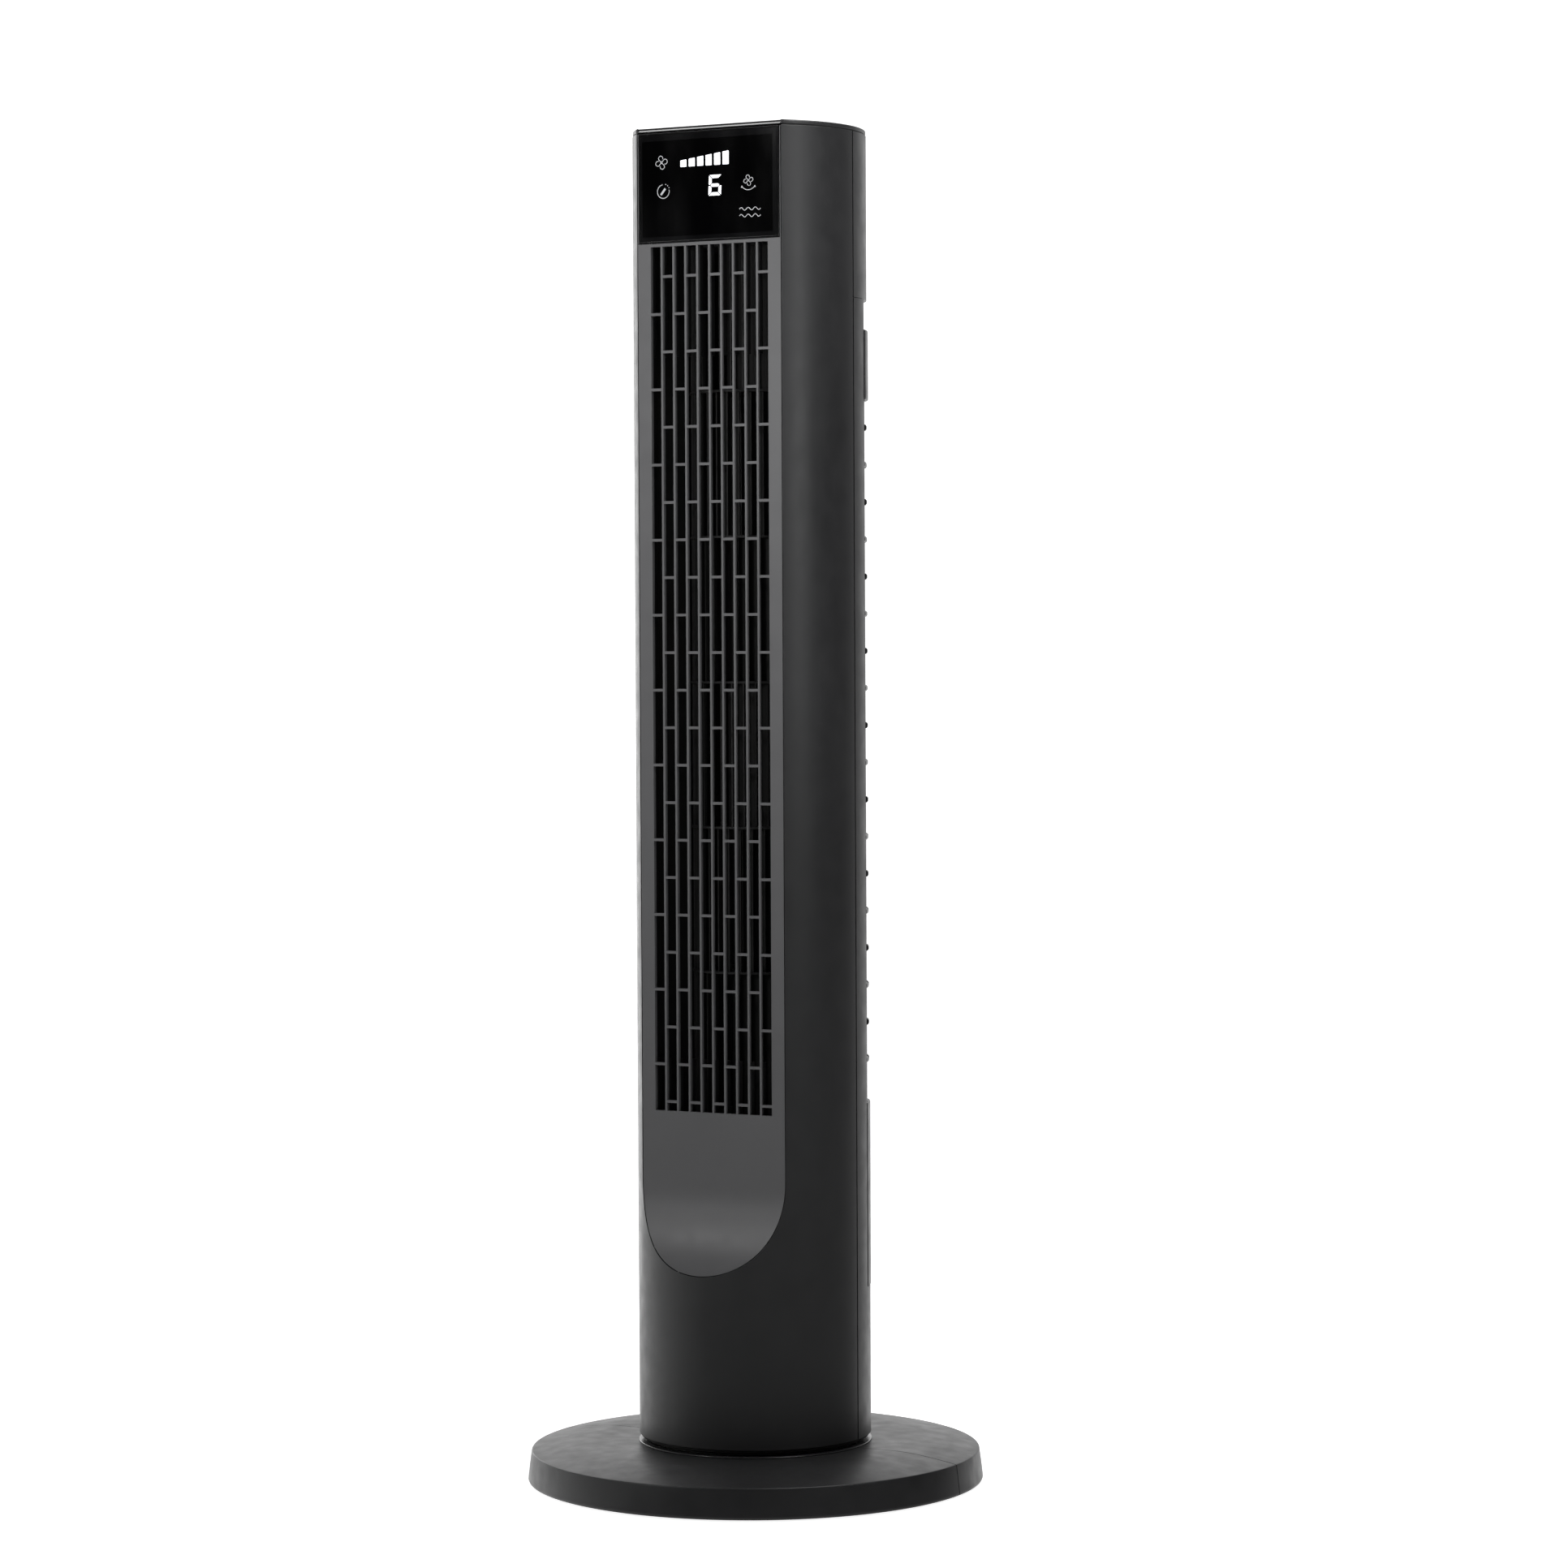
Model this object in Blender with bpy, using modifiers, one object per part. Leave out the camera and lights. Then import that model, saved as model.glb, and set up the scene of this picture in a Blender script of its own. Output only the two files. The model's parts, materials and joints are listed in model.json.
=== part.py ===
"""A 42 inch tower fan: a round column with a flat front on a disc base.

Metres, +Z up. The column's front faces -Y and the origin is at the centre of the base, on the floor.
Each sub-part is one object. The column turns on the base, and a gear on the column drives it round."""

import math

import bmesh
import bpy

# Driving dimensions
HEIGHT = 1.0668
COLUMN_RADIUS = 0.092
WALL = 0.0025
GAP = 0.0003
FLAT_Y = -0.066

# Where the flat front sweeps forward to meet the round column
SWEEP_TOP_Z = 0.245
SWEEP_RADIUS = 0.115
PANEL_THICK = 0.003
LIP = 0.0008
SEAM = 0.0005

# Heights of the column's shells and of what closes them
SHELL_LOW_Z = 0.0382
SHELL_TOP_Z = 1.0626
CAP_LOW_Z = SHELL_TOP_Z + GAP

# Front grille
GRILLE_HALF_WIDTH = 0.0521
GRILLE_LOW_Z = 0.2975
GRILLE_TOP_Z = 0.9738
GRILLE_COLUMNS = 10
BAR_WIDTH = 0.0017
BRIDGE_HEIGHT = 0.0021
BRIDGE_PITCH = 0.0587
ODD_BRIDGE_Z = 0.9212
EVEN_BRIDGE_Z = 0.9505
UPPER_VANE_LOW_Z = 0.888
LOWER_VANE_TOP_Z = 0.3385
VANE_DEPTH = 0.008
PANEL_TOP_Z = 0.9762

# Opening in the rear of the skin, and what fills it
REAR_START = 14.5
REAR_LOW_Z = 0.1555
REAR_TOP_Z = 0.9335
REAR_COVER_TOP_Z = 0.3010
REAR_HANDLE_LOW_Z = 0.8550
REAR_HANDLE_TOP_Z = 0.9100
CUP_HALF_WIDTH = 0.0420
CUP_RADIUS = 0.0888
CUP_Y = 0.0560
CUP_LOW_Z = 0.8560
CUP_TOP_Z = 0.9560
REAR_GRILLE_RADIUS = COLUMN_RADIUS - 0.0010
REAR_COLUMNS = 9
REAR_BAR_DEGREES = 3.0
REAR_BRIDGE_HEIGHT = 0.0048
REAR_BRIDGE_Z = 0.8044

# Blower
IMPELLER_Y = 0.004
IMPELLER_RADIUS = 0.050
IMPELLER_LOW_Z = 0.2905
IMPELLER_TOP_Z = 0.9765
IMPELLER_BLADES = 12
IMPELLER_RINGS = 3
SHAFT_RADIUS = 0.004

# Base and turntable
BASE_TOP_Z = 0.0318
BASE_RIM_Z = 0.0015
BASE_FLAT_RADIUS = 0.125
BASE_EDGE_RADIUS = 0.1775
BASE_FOOT_RADIUS = 0.1808
BASE_HOLE_RADIUS = 0.0872
DOME_DROP = 0.0064
DOME_POWER = 1.6
PIVOT_RADIUS = 0.0117

# Screws that hold the rear of the column and the hub
SHELL_SCREWS = ((-0.030, 0.100), (0.030, 0.100), (-0.030, 1.010), (0.030, 1.010))
SCREW_TURN = (math.radians(-90), 0, 0)
SCREW_HEAD = 0.0034
SCREW_SHANK = 0.0015
HUB_SCREW_DEGREES = (50, 130, 270)
HUB_SCREW_RADIUS = 0.078

# The base's bottom cover and the pads under it
COVER_LOW_Z = 0.0018
COVER_TOP_Z = 0.0036
COVER_RADIUS = 0.1766
FOOT_DEGREES = (55, 125, 195, 240, 300, 345)
FOOT_RING_RADIUS = 0.158
FOOT_RADIUS = 0.011
FOOT_HEIGHT = 0.0015

# Swing gear: a 12 tooth pinion on the column runs inside a 60 tooth ring on the base
GEAR_MODULE = 0.00125
RING_TEETH = 60
PINION_TEETH = 12
PRESSURE_ANGLE = math.radians(25)
BACKLASH = 0.0003
GEAR_LOW_Z = 0.0133
GEAR_TOP_Z = 0.0193
GEAR_CENTRE_Y = (RING_TEETH - PINION_TEETH) * GEAR_MODULE / 2

# Buttons in the top deck
BUTTON_NAMES = ("power_button", "speed_button", "mode_button", "timer_button", "swing_button")
BUTTON_X = (0.0, -0.022, 0.022, -0.044, 0.044)
BUTTON_Y = -0.034
BUTTON_RADIUS = 0.0063

FINISHES = {
    "shell_black": ((0.045, 0.045, 0.047), 0.42, 0.0),
    "panel_grey": ((0.13, 0.13, 0.135), 0.45, 0.0),
    "gloss_black": ((0.006, 0.006, 0.007), 0.08, 0.0),
    "inner_black": ((0.012, 0.012, 0.013), 0.55, 0.0),
    "light_guide": ((0.75, 0.75, 0.75), 0.40, 0.0),
    "board_green": ((0.02, 0.12, 0.05), 0.50, 0.0),
    "steel": ((0.55, 0.55, 0.57), 0.30, 1.0),
    "motor_zinc": ((0.45, 0.46, 0.47), 0.40, 1.0),
    "acetal": ((0.80, 0.79, 0.75), 0.35, 0.0),
    "rubber": ((0.02, 0.02, 0.02), 0.85, 0.0),
    "bronze": ((0.45, 0.30, 0.14), 0.40, 1.0),
    "wire_white": ((0.70, 0.70, 0.68), 0.50, 0.0),
}

X_WARDS = (math.radians(90), 0, math.radians(90))
Y_WARDS = (math.radians(90), 0, 0)
MERGE = 0.00001


def collection(name):
    made = bpy.data.collections.new(name)
    bpy.context.scene.collection.children.link(made)
    return made


def finish_material(name):
    """The Principled material of that name, made the first time that it is asked for."""
    found = bpy.data.materials.get(name)
    if found:
        return found
    colour, roughness, metallic = FINISHES[name]
    made = bpy.data.materials.new(name)
    made.use_nodes = True
    shader = made.node_tree.nodes["Principled BSDF"]
    shader.inputs["Base Color"].default_value = (*colour, 1.0)
    shader.inputs["Roughness"].default_value = roughness
    shader.inputs["Metallic"].default_value = metallic
    made.diffuse_color = (*colour, 1.0)
    return made


def add_object(name, data, finish=None):
    """Links an object as a part, or as a helper where it has no finish."""
    made = bpy.data.objects.new(name, data)
    if finish:
        PARTS.objects.link(made)
        data.materials.append(finish_material(finish))
    else:
        CUTTERS.objects.link(made)
        made.hide_render = True
        made.display_type = "WIRE"
    return made


def mesh_of(source):
    """The evaluated object as a new mesh, with loose seams welded and its faces pointing out."""
    graph = bpy.context.evaluated_depsgraph_get()
    mesh = bpy.data.meshes.new_from_object(source.evaluated_get(graph))
    shape = bmesh.new()
    shape.from_mesh(mesh)
    bmesh.ops.remove_doubles(shape, verts=shape.verts, dist=MERGE)
    bmesh.ops.recalc_face_normals(shape, faces=shape.faces)
    shape.to_mesh(mesh)
    shape.free()
    return mesh


def smooth(made, degrees=35):
    made.data.shade_smooth()
    made.data.set_sharp_from_angle(angle=math.radians(degrees))
    return made


def from_bmesh(name, shape, finish=None):
    mesh = bpy.data.meshes.new(name)
    shape.to_mesh(mesh)
    shape.free()
    return add_object(name, mesh, finish)


def block(name, low, high, finish=None):
    """A box between two corners."""
    shape = bmesh.new()
    bmesh.ops.create_cube(shape, size=1.0)
    size = [b - a for a, b in zip(low, high)]
    bmesh.ops.scale(shape, vec=size, verts=shape.verts)
    made = from_bmesh(name, shape, finish)
    made.location = [(a + b) / 2 for a, b in zip(low, high)]
    return made


def blocks(name, corners):
    """Several boxes that don't touch, as one cutter."""
    shape = bmesh.new()
    for low, high in corners:
        made = bmesh.ops.create_cube(shape, size=1.0)["verts"]
        bmesh.ops.scale(shape, vec=[b - a for a, b in zip(low, high)], verts=made)
        bmesh.ops.translate(shape, vec=[(a + b) / 2 for a, b in zip(low, high)], verts=made)
    return from_bmesh(name, shape)


def rod(name, radius, low, high, centre=(0, 0), finish=None, sides=24):
    """A cylinder that stands between two heights."""
    shape = bmesh.new()
    bmesh.ops.create_cone(
        shape, cap_ends=True, segments=sides, radius1=radius, radius2=radius, depth=high - low
    )
    made = from_bmesh(name, shape, finish)
    made.location = (*centre, (low + high) / 2)
    return smooth(made)


def plate(name, outline, low, high, finish=None, turn=(0, 0, 0)):
    """A flat closed outline with a thickness, from low to high along its own Z, then turned."""
    curve = bpy.data.curves.new(name, "CURVE")
    curve.dimensions = "2D"
    curve.fill_mode = "BOTH"
    curve.extrude = (high - low) / 2
    spline = curve.splines.new("POLY")
    spline.points.add(len(outline) - 1)
    for point, (x, y) in zip(spline.points, outline):
        point.co = (x, y, 0, 1)
    spline.use_cyclic_u = True
    sketch = bpy.data.objects.new(name + "_sketch", curve)
    CUTTERS.objects.link(sketch)
    mesh = mesh_of(sketch)
    for vertex in mesh.vertices:
        vertex.co.z += (low + high) / 2
    bpy.data.objects.remove(sketch)
    made = add_object(name, mesh, finish)
    made.rotation_euler = turn
    return made


def turned(name, profile, finish=None, sides=48, centre=(0, 0, 0), turn=(0, 0, 0)):
    """A turned shape. The profile (radius, height) runs down its outer side; a ring's profile closes."""
    on_axis = profile[0][0] == 0 and profile[-1][0] == 0
    count = len(profile)
    edges = [(i, i + 1) for i in range(count - 1)]
    if not on_axis:
        edges.append((count - 1, 0))
    mesh = bpy.data.meshes.new(name)
    mesh.from_pydata([(r, 0, z) for r, z in profile], edges, [])
    sketch = bpy.data.objects.new(name + "_sketch", mesh)
    CUTTERS.objects.link(sketch)
    screw = sketch.modifiers.new("turn", "SCREW")
    screw.steps = sides
    screw.render_steps = sides
    screw.use_merge_vertices = True
    screw.merge_threshold = MERGE
    made = add_object(name, mesh_of(sketch), finish)
    bpy.data.objects.remove(sketch)
    made.location = centre
    made.rotation_euler = turn
    return smooth(made)


def ring(name, outer, inner, low, high, centre=(0, 0), finish=None, sides=28):
    """A plain ring between two radii and two heights."""
    profile = [(outer, high), (outer, low), (inner, low), (inner, high)]
    return turned(name, profile, finish, sides, (*centre, 0))


def combine(target, operation, other, solver="EXACT"):
    """A Boolean of two meshes. The other one becomes a helper that isn't part of the object."""
    modifier = target.modifiers.new(other.name, "BOOLEAN")
    modifier.operation = operation
    modifier.solver = solver
    modifier.object = other
    if other.name in PARTS.objects:
        PARTS.objects.unlink(other)
        CUTTERS.objects.link(other)
        other.hide_render = True
        other.display_type = "WIRE"
    return target


def cut(target, *others):
    for other in others:
        combine(target, "DIFFERENCE", other)
    return target


def join(target, *others):
    for other in others:
        combine(target, "UNION", other)
    return target


def polar(radius, degrees, centre=(0, 0)):
    angle = math.radians(degrees)
    return (centre[0] + radius * math.cos(angle), centre[1] + radius * math.sin(angle))


def arc(radius, start, end, steps, centre=(0, 0)):
    """Points along an arc, both ends included, in degrees."""
    return [polar(radius, start + (end - start) * i / steps, centre) for i in range(steps + 1)]


def ring_sector(outer, inner, start, end, steps, centre=(0, 0)):
    """The outline of a piece of a ring."""
    return arc(outer, start, end, steps, centre) + arc(inner, end, start, steps, centre)


def corner_degrees(radius, flat_y):
    """The polar angle, right of the front, where a flat at flat_y cuts a circle."""
    return math.degrees(math.asin(flat_y / radius))


def d_outline(radius, flat_y, steps=24):
    """A circle with its front cut flat."""
    start = corner_degrees(radius, flat_y)
    return arc(radius, start, 180 - start, steps)


def sweep_line(offset, top_z, end_degrees=43, steps=10):
    """The front face's line in Y and Z: straight down, then an arc that comes forward."""
    points = [(FLAT_Y + offset, top_z), (FLAT_Y + offset, SWEEP_TOP_Z)]
    for i in range(1, steps + 1):
        angle = math.radians(end_degrees * i / steps)
        forward = SWEEP_RADIUS * (1 - math.cos(angle))
        points.append((FLAT_Y + offset - forward, SWEEP_TOP_Z - SWEEP_RADIUS * math.sin(angle)))
    return points


def swept_slab(name, near, far, radius, top_z, finish=None):
    """A slab between two depths behind the swept front face, trimmed to a round column of that radius."""
    front = sweep_line(near, top_z)
    back = sweep_line(far, top_z)
    slab = plate(name, front + back[::-1], -0.08, 0.08, finish, X_WARDS)
    trim = plate(name + "_trim", arc(radius, 0, 355, 71), 0.10, 1.10)
    return combine(slab, "INTERSECT", trim)


def row_heights(first, low, high, margin=0.004):
    """The heights of one column's bridges, from the first one down, inside the opening."""
    heights = []
    z = first
    while z > low + margin:
        if z < high - margin:
            heights.append(z)
        z -= BRIDGE_PITCH
    return heights


def slot_spans(bridges, low, high, bridge_height):
    """The open stretches between a column's bridges, from the top down."""
    tops = [high] + [z - bridge_height / 2 for z in bridges]
    bottoms = [z + bridge_height / 2 for z in bridges] + [low]
    return list(zip(bottoms, tops))


def make_front_panel():
    """The grey front panel: a grille of staggered slots over a plain tongue that sweeps forward."""
    panel = swept_slab(
        "front_grille", 0, PANEL_THICK, COLUMN_RADIUS - LIP - SEAM, PANEL_TOP_Z, "panel_grey"
    )
    back = FLAT_Y + PANEL_THICK
    reach = GRILLE_HALF_WIDTH + 0.002
    for name, low, high in (
        ("upper_vanes", UPPER_VANE_LOW_Z, PANEL_TOP_Z - 0.0008),
        ("lower_vanes", GRILLE_LOW_Z - 0.002, LOWER_VANE_TOP_Z),
    ):
        join(panel, block(name, (-reach, back - 0.001, low), (reach, FLAT_Y + VANE_DEPTH, high)))
    pitch = (2 * GRILLE_HALF_WIDTH + BAR_WIDTH) / GRILLE_COLUMNS
    holes = []
    for i in range(GRILLE_COLUMNS):
        left = -GRILLE_HALF_WIDTH + i * pitch
        first = EVEN_BRIDGE_Z if i % 2 else ODD_BRIDGE_Z
        bridges = row_heights(first, GRILLE_LOW_Z, GRILLE_TOP_Z)
        for low, high in slot_spans(bridges, GRILLE_LOW_Z, GRILLE_TOP_Z, BRIDGE_HEIGHT):
            right = left + pitch - BAR_WIDTH
            holes.append(((left, FLAT_Y - 0.01, low), (right, FLAT_Y + 0.02, high)))
    cut(panel, blocks("front_slots", holes))


def make_front_shell():
    """The front half of the column's skin, open where the front panel and the display go."""
    outline = ring_sector(COLUMN_RADIUS, COLUMN_RADIUS - WALL, 180, 360, 30)
    outline = [(x, y - GAP / 2) for x, y in outline]
    shell = plate("front_shell", outline, SHELL_LOW_Z, SHELL_TOP_Z, "shell_black")
    front = sweep_line(0, 1.1)
    front_cut = plate("front_cut", front + [(-0.12, front[-1][1]), (-0.12, 1.1)], -0.1, 0.1, None, X_WARDS)
    pocket = swept_slab("panel_pocket", -0.001, PANEL_THICK + 0.0004, COLUMN_RADIUS - LIP, 1.09)
    cut(shell, front_cut, pocket)
    smooth(shell)


def make_rear_shell():
    """The rear half of the skin: two side strips on a plain band, and the cover above them."""
    outline = ring_sector(COLUMN_RADIUS, COLUMN_RADIUS - WALL, 0, 180, 30)
    outline = [(x, y + GAP / 2) for x, y in outline]
    shell = plate("rear_shell", outline, SHELL_LOW_Z, REAR_TOP_Z - GAP / 2, "shell_black")
    cover = plate("upper_rear_cover", outline, REAR_TOP_Z + GAP / 2, SHELL_TOP_Z, "shell_black")
    window = ring_sector(0.12, 0.06, REAR_START, 180 - REAR_START, 12)
    cut(shell, plate("rear_window", window, REAR_LOW_Z, SHELL_TOP_Z))
    for i, (x, z) in enumerate(SHELL_SCREWS):
        hole = turned(f"screw_hole_{i}", screw_profile(SEAM, 0.02), None, 12, screw_place(x, z), SCREW_TURN)
        cut(cover if z > REAR_TOP_Z else shell, hole)
    smooth(shell)
    smooth(cover)


def screw_place(x, z):
    """Where a shell screw's head is flush, a little inside the round skin."""
    return (x, math.sqrt((COLUMN_RADIUS - 0.0012) ** 2 - x**2), z)


def screw_profile(clearance=0.0, head_up=0.0):
    """A pan head screw along its own Z, its head's top at 0, or the hole that takes it."""
    head = SCREW_HEAD + clearance
    shank = SCREW_SHANK + clearance
    return [(0, head_up), (head, head_up), (head, -0.0012), (shank, -0.0012), (shank, -0.010), (0, -0.010)]


def rear_sector(name, outer, thick, low, high, finish, margin=0.6, steps=22):
    """A curved piece that fills the rear window from side to side."""
    outline = ring_sector(outer, outer - thick, REAR_START + margin, 180 - REAR_START - margin, steps)
    return plate(name, outline, low, high, finish)


def make_rear_grille():
    """The air inlet: a curved skin of upright bars, tied by bridges in staggered rows."""
    low = REAR_COVER_TOP_Z + GAP
    high = REAR_HANDLE_LOW_Z - GAP
    edge = 0.004
    start = REAR_START + 0.6
    pitch = (180 - 2 * start + REAR_BAR_DEGREES) / (REAR_COLUMNS + 0.4)
    first = start + 0.2 * pitch
    firsts = (REAR_BRIDGE_Z, REAR_BRIDGE_Z + BRIDGE_PITCH / 2)
    rows = [row_heights(first_z, low + edge, high - edge) for first_z in firsts]
    half = REAR_BRIDGE_HEIGHT / 2
    bridge_edges = [z + side * half for row in rows for z in row for side in (-1, 1)]
    heights = sorted({low, high, low + edge, high - edge, *bridge_edges})
    angles = [start]
    for i in range(REAR_COLUMNS):
        angles += [first + i * pitch, first + (i + 1) * pitch - REAR_BAR_DEGREES]
    angles.append(180 - start)
    shape = bmesh.new()
    radii = (REAR_GRILLE_RADIUS, REAR_GRILLE_RADIUS - 0.0022)
    grids = [[[shape.verts.new((*polar(r, a), z)) for z in heights] for a in angles] for r in radii]
    outer, inner = grids

    def open_cell(i, j):
        """Whether the cell from angle i and height j is part of a slot."""
        if i % 2 == 0 or j in (0, len(heights) - 2):
            return False
        middle = (heights[j] + heights[j + 1]) / 2
        return all(abs(middle - z) > half for z in rows[(i // 2) % 2])

    solid = {
        (i, j)
        for i in range(len(angles) - 1)
        for j in range(len(heights) - 1)
        if not open_cell(i, j)
    }
    for i, j in solid:
        shape.faces.new([outer[i][j], outer[i + 1][j], outer[i + 1][j + 1], outer[i][j + 1]])
        shape.faces.new([inner[i][j + 1], inner[i + 1][j + 1], inner[i + 1][j], inner[i][j]])
        sides = {
            (i - 1, j): ((i, j + 1), (i, j)),
            (i + 1, j): ((i + 1, j), (i + 1, j + 1)),
            (i, j - 1): ((i, j), (i + 1, j)),
            (i, j + 1): ((i + 1, j + 1), (i, j + 1)),
        }
        for neighbour, ((a, b), (c, d)) in sides.items():
            if neighbour not in solid:
                shape.faces.new([outer[c][d], outer[a][b], inner[a][b], inner[c][d]])
    bmesh.ops.recalc_face_normals(shape, faces=shape.faces)
    bmesh.ops.dissolve_limit(shape, angle_limit=0.01, verts=shape.verts, edges=shape.edges)
    loose = [v for v in shape.verts if not v.link_faces]
    bmesh.ops.delete(shape, geom=loose, context="VERTS")
    from_bmesh("rear_grille", shape, "shell_black")


def make_rear_covers():
    """The lower vent cover, the carry handle's band and the pocket that the fingers reach into."""
    cover = rear_sector(
        "lower_rear_cover", COLUMN_RADIUS + 0.0004, 0.0028, REAR_LOW_Z + GAP, REAR_COVER_TOP_Z, "shell_black"
    )
    vents = []
    for i in range(6):
        z = 0.190 + 0.015 * i
        vents.append(((-0.030, 0.05, z), (0.030, 0.12, z + 0.0055)))
    cut(cover, blocks("cover_vents", vents))
    band = rear_sector(
        "carry_handle", COLUMN_RADIUS + 0.0010, 0.0030, REAR_HANDLE_LOW_Z, REAR_HANDLE_TOP_Z, "shell_black"
    )
    low, high = REAR_HANDLE_LOW_Z + 0.0005, REAR_TOP_Z - GAP
    pocket = rear_sector("handle_pocket", COLUMN_RADIUS - 0.0023, 0.0020, low, high, "shell_black")
    side = math.degrees(math.acos(CUP_HALF_WIDTH / CUP_RADIUS))
    outline = [(-CUP_HALF_WIDTH, CUP_Y), (CUP_HALF_WIDTH, CUP_Y)] + arc(CUP_RADIUS, side, 180 - side, 10)
    join(pocket, plate("cup_body", outline, CUP_LOW_Z, CUP_TOP_Z))
    half = CUP_HALF_WIDTH - WALL
    front, bottom, top = CUP_Y + WALL, CUP_LOW_Z + WALL, CUP_TOP_Z - WALL
    cut(pocket, block("cup_hollow", (-half, front, bottom), (half, 0.12, top)))
    for piece in (cover, band, pocket):
        smooth(piece)


def make_top():
    """The cap, its glossy control fascia, the five push buttons and the board below them."""
    outline = d_outline(COLUMN_RADIUS - 0.0006, FLAT_Y + 0.0005)
    cap = plate("top_cap", outline, CAP_LOW_Z, HEIGHT, "shell_black")
    rounding = cap.modifiers.new("rounding", "BEVEL")
    rounding.width = 0.0013
    rounding.segments = 1
    rounding.limit_method = "ANGLE"
    rounding.angle_limit = math.radians(60)
    floor_z = CAP_LOW_Z + 0.0014
    back_y = 0.018
    rim_radius = COLUMN_RADIUS - 0.0018

    def deck(name, radius, front_y, rear_y, low, high, finish=None):
        start = corner_degrees(radius, front_y)
        end = corner_degrees(radius, rear_y)
        outline = arc(radius, start, end, 14) + arc(radius, 180 - end, 180 - start, 14)
        return plate(name, outline, low, high, finish)

    cut(cap, deck("deck_pocket", rim_radius + GAP, -0.080, back_y + GAP, floor_z, HEIGHT + 0.01))
    skirt_back = FLAT_Y + 0.0020
    cut(cap, block("skirt_pocket", (-0.0700, -0.0800, 1.05), (0.0700, skirt_back + GAP, HEIGHT + 0.01)))
    top_z = HEIGHT - 0.0006
    front_y = FLAT_Y + 0.0005
    fascia = deck("control_fascia", rim_radius, front_y, back_y, floor_z + GAP, top_z, "gloss_black")
    skirt_x = math.sqrt(rim_radius**2 - FLAT_Y**2)
    low, high = (-skirt_x, front_y, CAP_LOW_Z), (skirt_x, skirt_back, top_z - 0.0002)
    join(fascia, block("fascia_skirt", low, high))
    board_top = 1.0516
    low, high = (-0.055, -0.0540, board_top - 0.0016), (0.055, -0.008, board_top)
    board = block("control_board", low, high, "board_green")
    for name, x in zip(BUTTON_NAMES, BUTTON_X):
        hole = rod(f"hole_{name}", BUTTON_RADIUS + 0.0004, 1.05, 1.08, (x, BUTTON_Y), sides=16)
        cut(cap, hole)
        cut(fascia, hole)
        low = (x - 0.003, BUTTON_Y - 0.003, board_top - 0.0005)
        high = (x + 0.003, BUTTON_Y + 0.003, 1.0560)
        join(board, block(f"switch_{name}", low, high))
        flange_top = CAP_LOW_Z - 0.0004
        profile = [
            (0, HEIGHT),
            (BUTTON_RADIUS, HEIGHT),
            (BUTTON_RADIUS, flange_top),
            (0.0078, flange_top),
            (0.0078, 1.0608),
            (0.0025, 1.0608),
            (0.0025, 1.0575),
            (0, 1.0575),
        ]
        turned(name, profile, "gloss_black", 16, (x, BUTTON_Y, 0))


def make_display():
    """The glossy display: a bezel, a lens, the light guide behind it and the board."""
    low, high = PANEL_TOP_Z + SEAM, SHELL_TOP_Z - 0.0004
    back = FLAT_Y + PANEL_THICK
    bezel = block("display_bezel", (-0.0622, FLAT_Y, low), (0.0622, back, high), "gloss_black")
    trim = plate("bezel_trim", arc(COLUMN_RADIUS - LIP - SEAM, 0, 355, 71), 0.9, 1.10)
    combine(bezel, "INTERSECT", trim)
    cut(bezel, block("bezel_opening", (-0.0598, -0.08, low + 0.0030), (0.0598, -0.05, high - 0.0026)))
    lens_low, lens_high = (-0.0595, FLAT_Y, low + 0.0033), (0.0595, FLAT_Y + 0.0020, high - 0.0029)
    block("display_lens", lens_low, lens_high, "gloss_black")
    block("display_light_guide", (-0.052, FLAT_Y + 0.0027, 0.988), (0.052, -0.0588, 1.050), "light_guide")
    block("display_board", (-0.054, -0.0585, 0.986), (0.054, -0.0569, 1.052), "board_green")


def make_air_guides():
    """The scroll that wraps the left of the impeller and the stabiliser on its right."""
    centre = (0, IMPELLER_Y)
    low, high = 0.2875, 0.9790
    inner = []
    steps = 12
    for i in range(steps + 1):
        share = i / steps
        inner.append(polar(0.0535 * math.exp(0.40 * share), 168 + 61 * share, centre))
    outer = []
    for i in range(steps + 1):
        share = i / steps
        outer.append(polar(0.0555 * math.exp(0.40 * share), 167 + 61 * share, centre))
    plate("air_scroll", inner + outer[::-1], low, high, "inner_black")
    nose = polar(0.0550, -24, centre)
    wall = [
        (0.0540, -0.0575), (0.0520, -0.0400), nose, polar(0.0575, -14, centre), polar(0.0700, -6, centre),
        polar(0.0860, -5, centre), polar(0.0860, -3.6, centre), polar(0.0700, -3.8, centre),
        polar(0.0572, -8, centre), polar(0.0532, -20, centre), polar(0.0532, -27, centre), (0.0500, -0.0400),
        (0.0515, -0.0575),
    ]
    plate("air_stabiliser", wall[::-1], low, high, "inner_black")


def make_end_plates():
    """The plates above and below the impeller. The lower one holds the motor."""
    centre = (0, IMPELLER_Y)
    wire_notch = (-0.086, -0.004)
    for name, low, high, bore in (
        ("upper_end_plate", 0.9795, 0.9825, 0.0103),
        ("motor_bracket", 0.2835, 0.2865, 0.0150),
    ):
        end = plate(name, d_outline(0.0885, -0.0560), low, high, "inner_black")
        cut(end, rod(name + "_bore", bore, low - 0.01, high + 0.01, centre, sides=16))
        cut(end, rod(name + "_notch", 0.0045, low - 0.01, high + 0.01, wire_notch, sides=12))
        if name == "motor_bracket":
            join(end, ring("bracket_collar", 0.0465, 0.0436, 0.262, low + 0.001, centre))
        else:
            join(end, ring("bush_holder", 0.0125, 0.0103, low + 0.001, high + 0.0035, centre))
    ring("upper_bush", 0.0100, SHAFT_RADIUS + GAP, 0.9786, 0.9865, centre, "bronze", 24)


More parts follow.
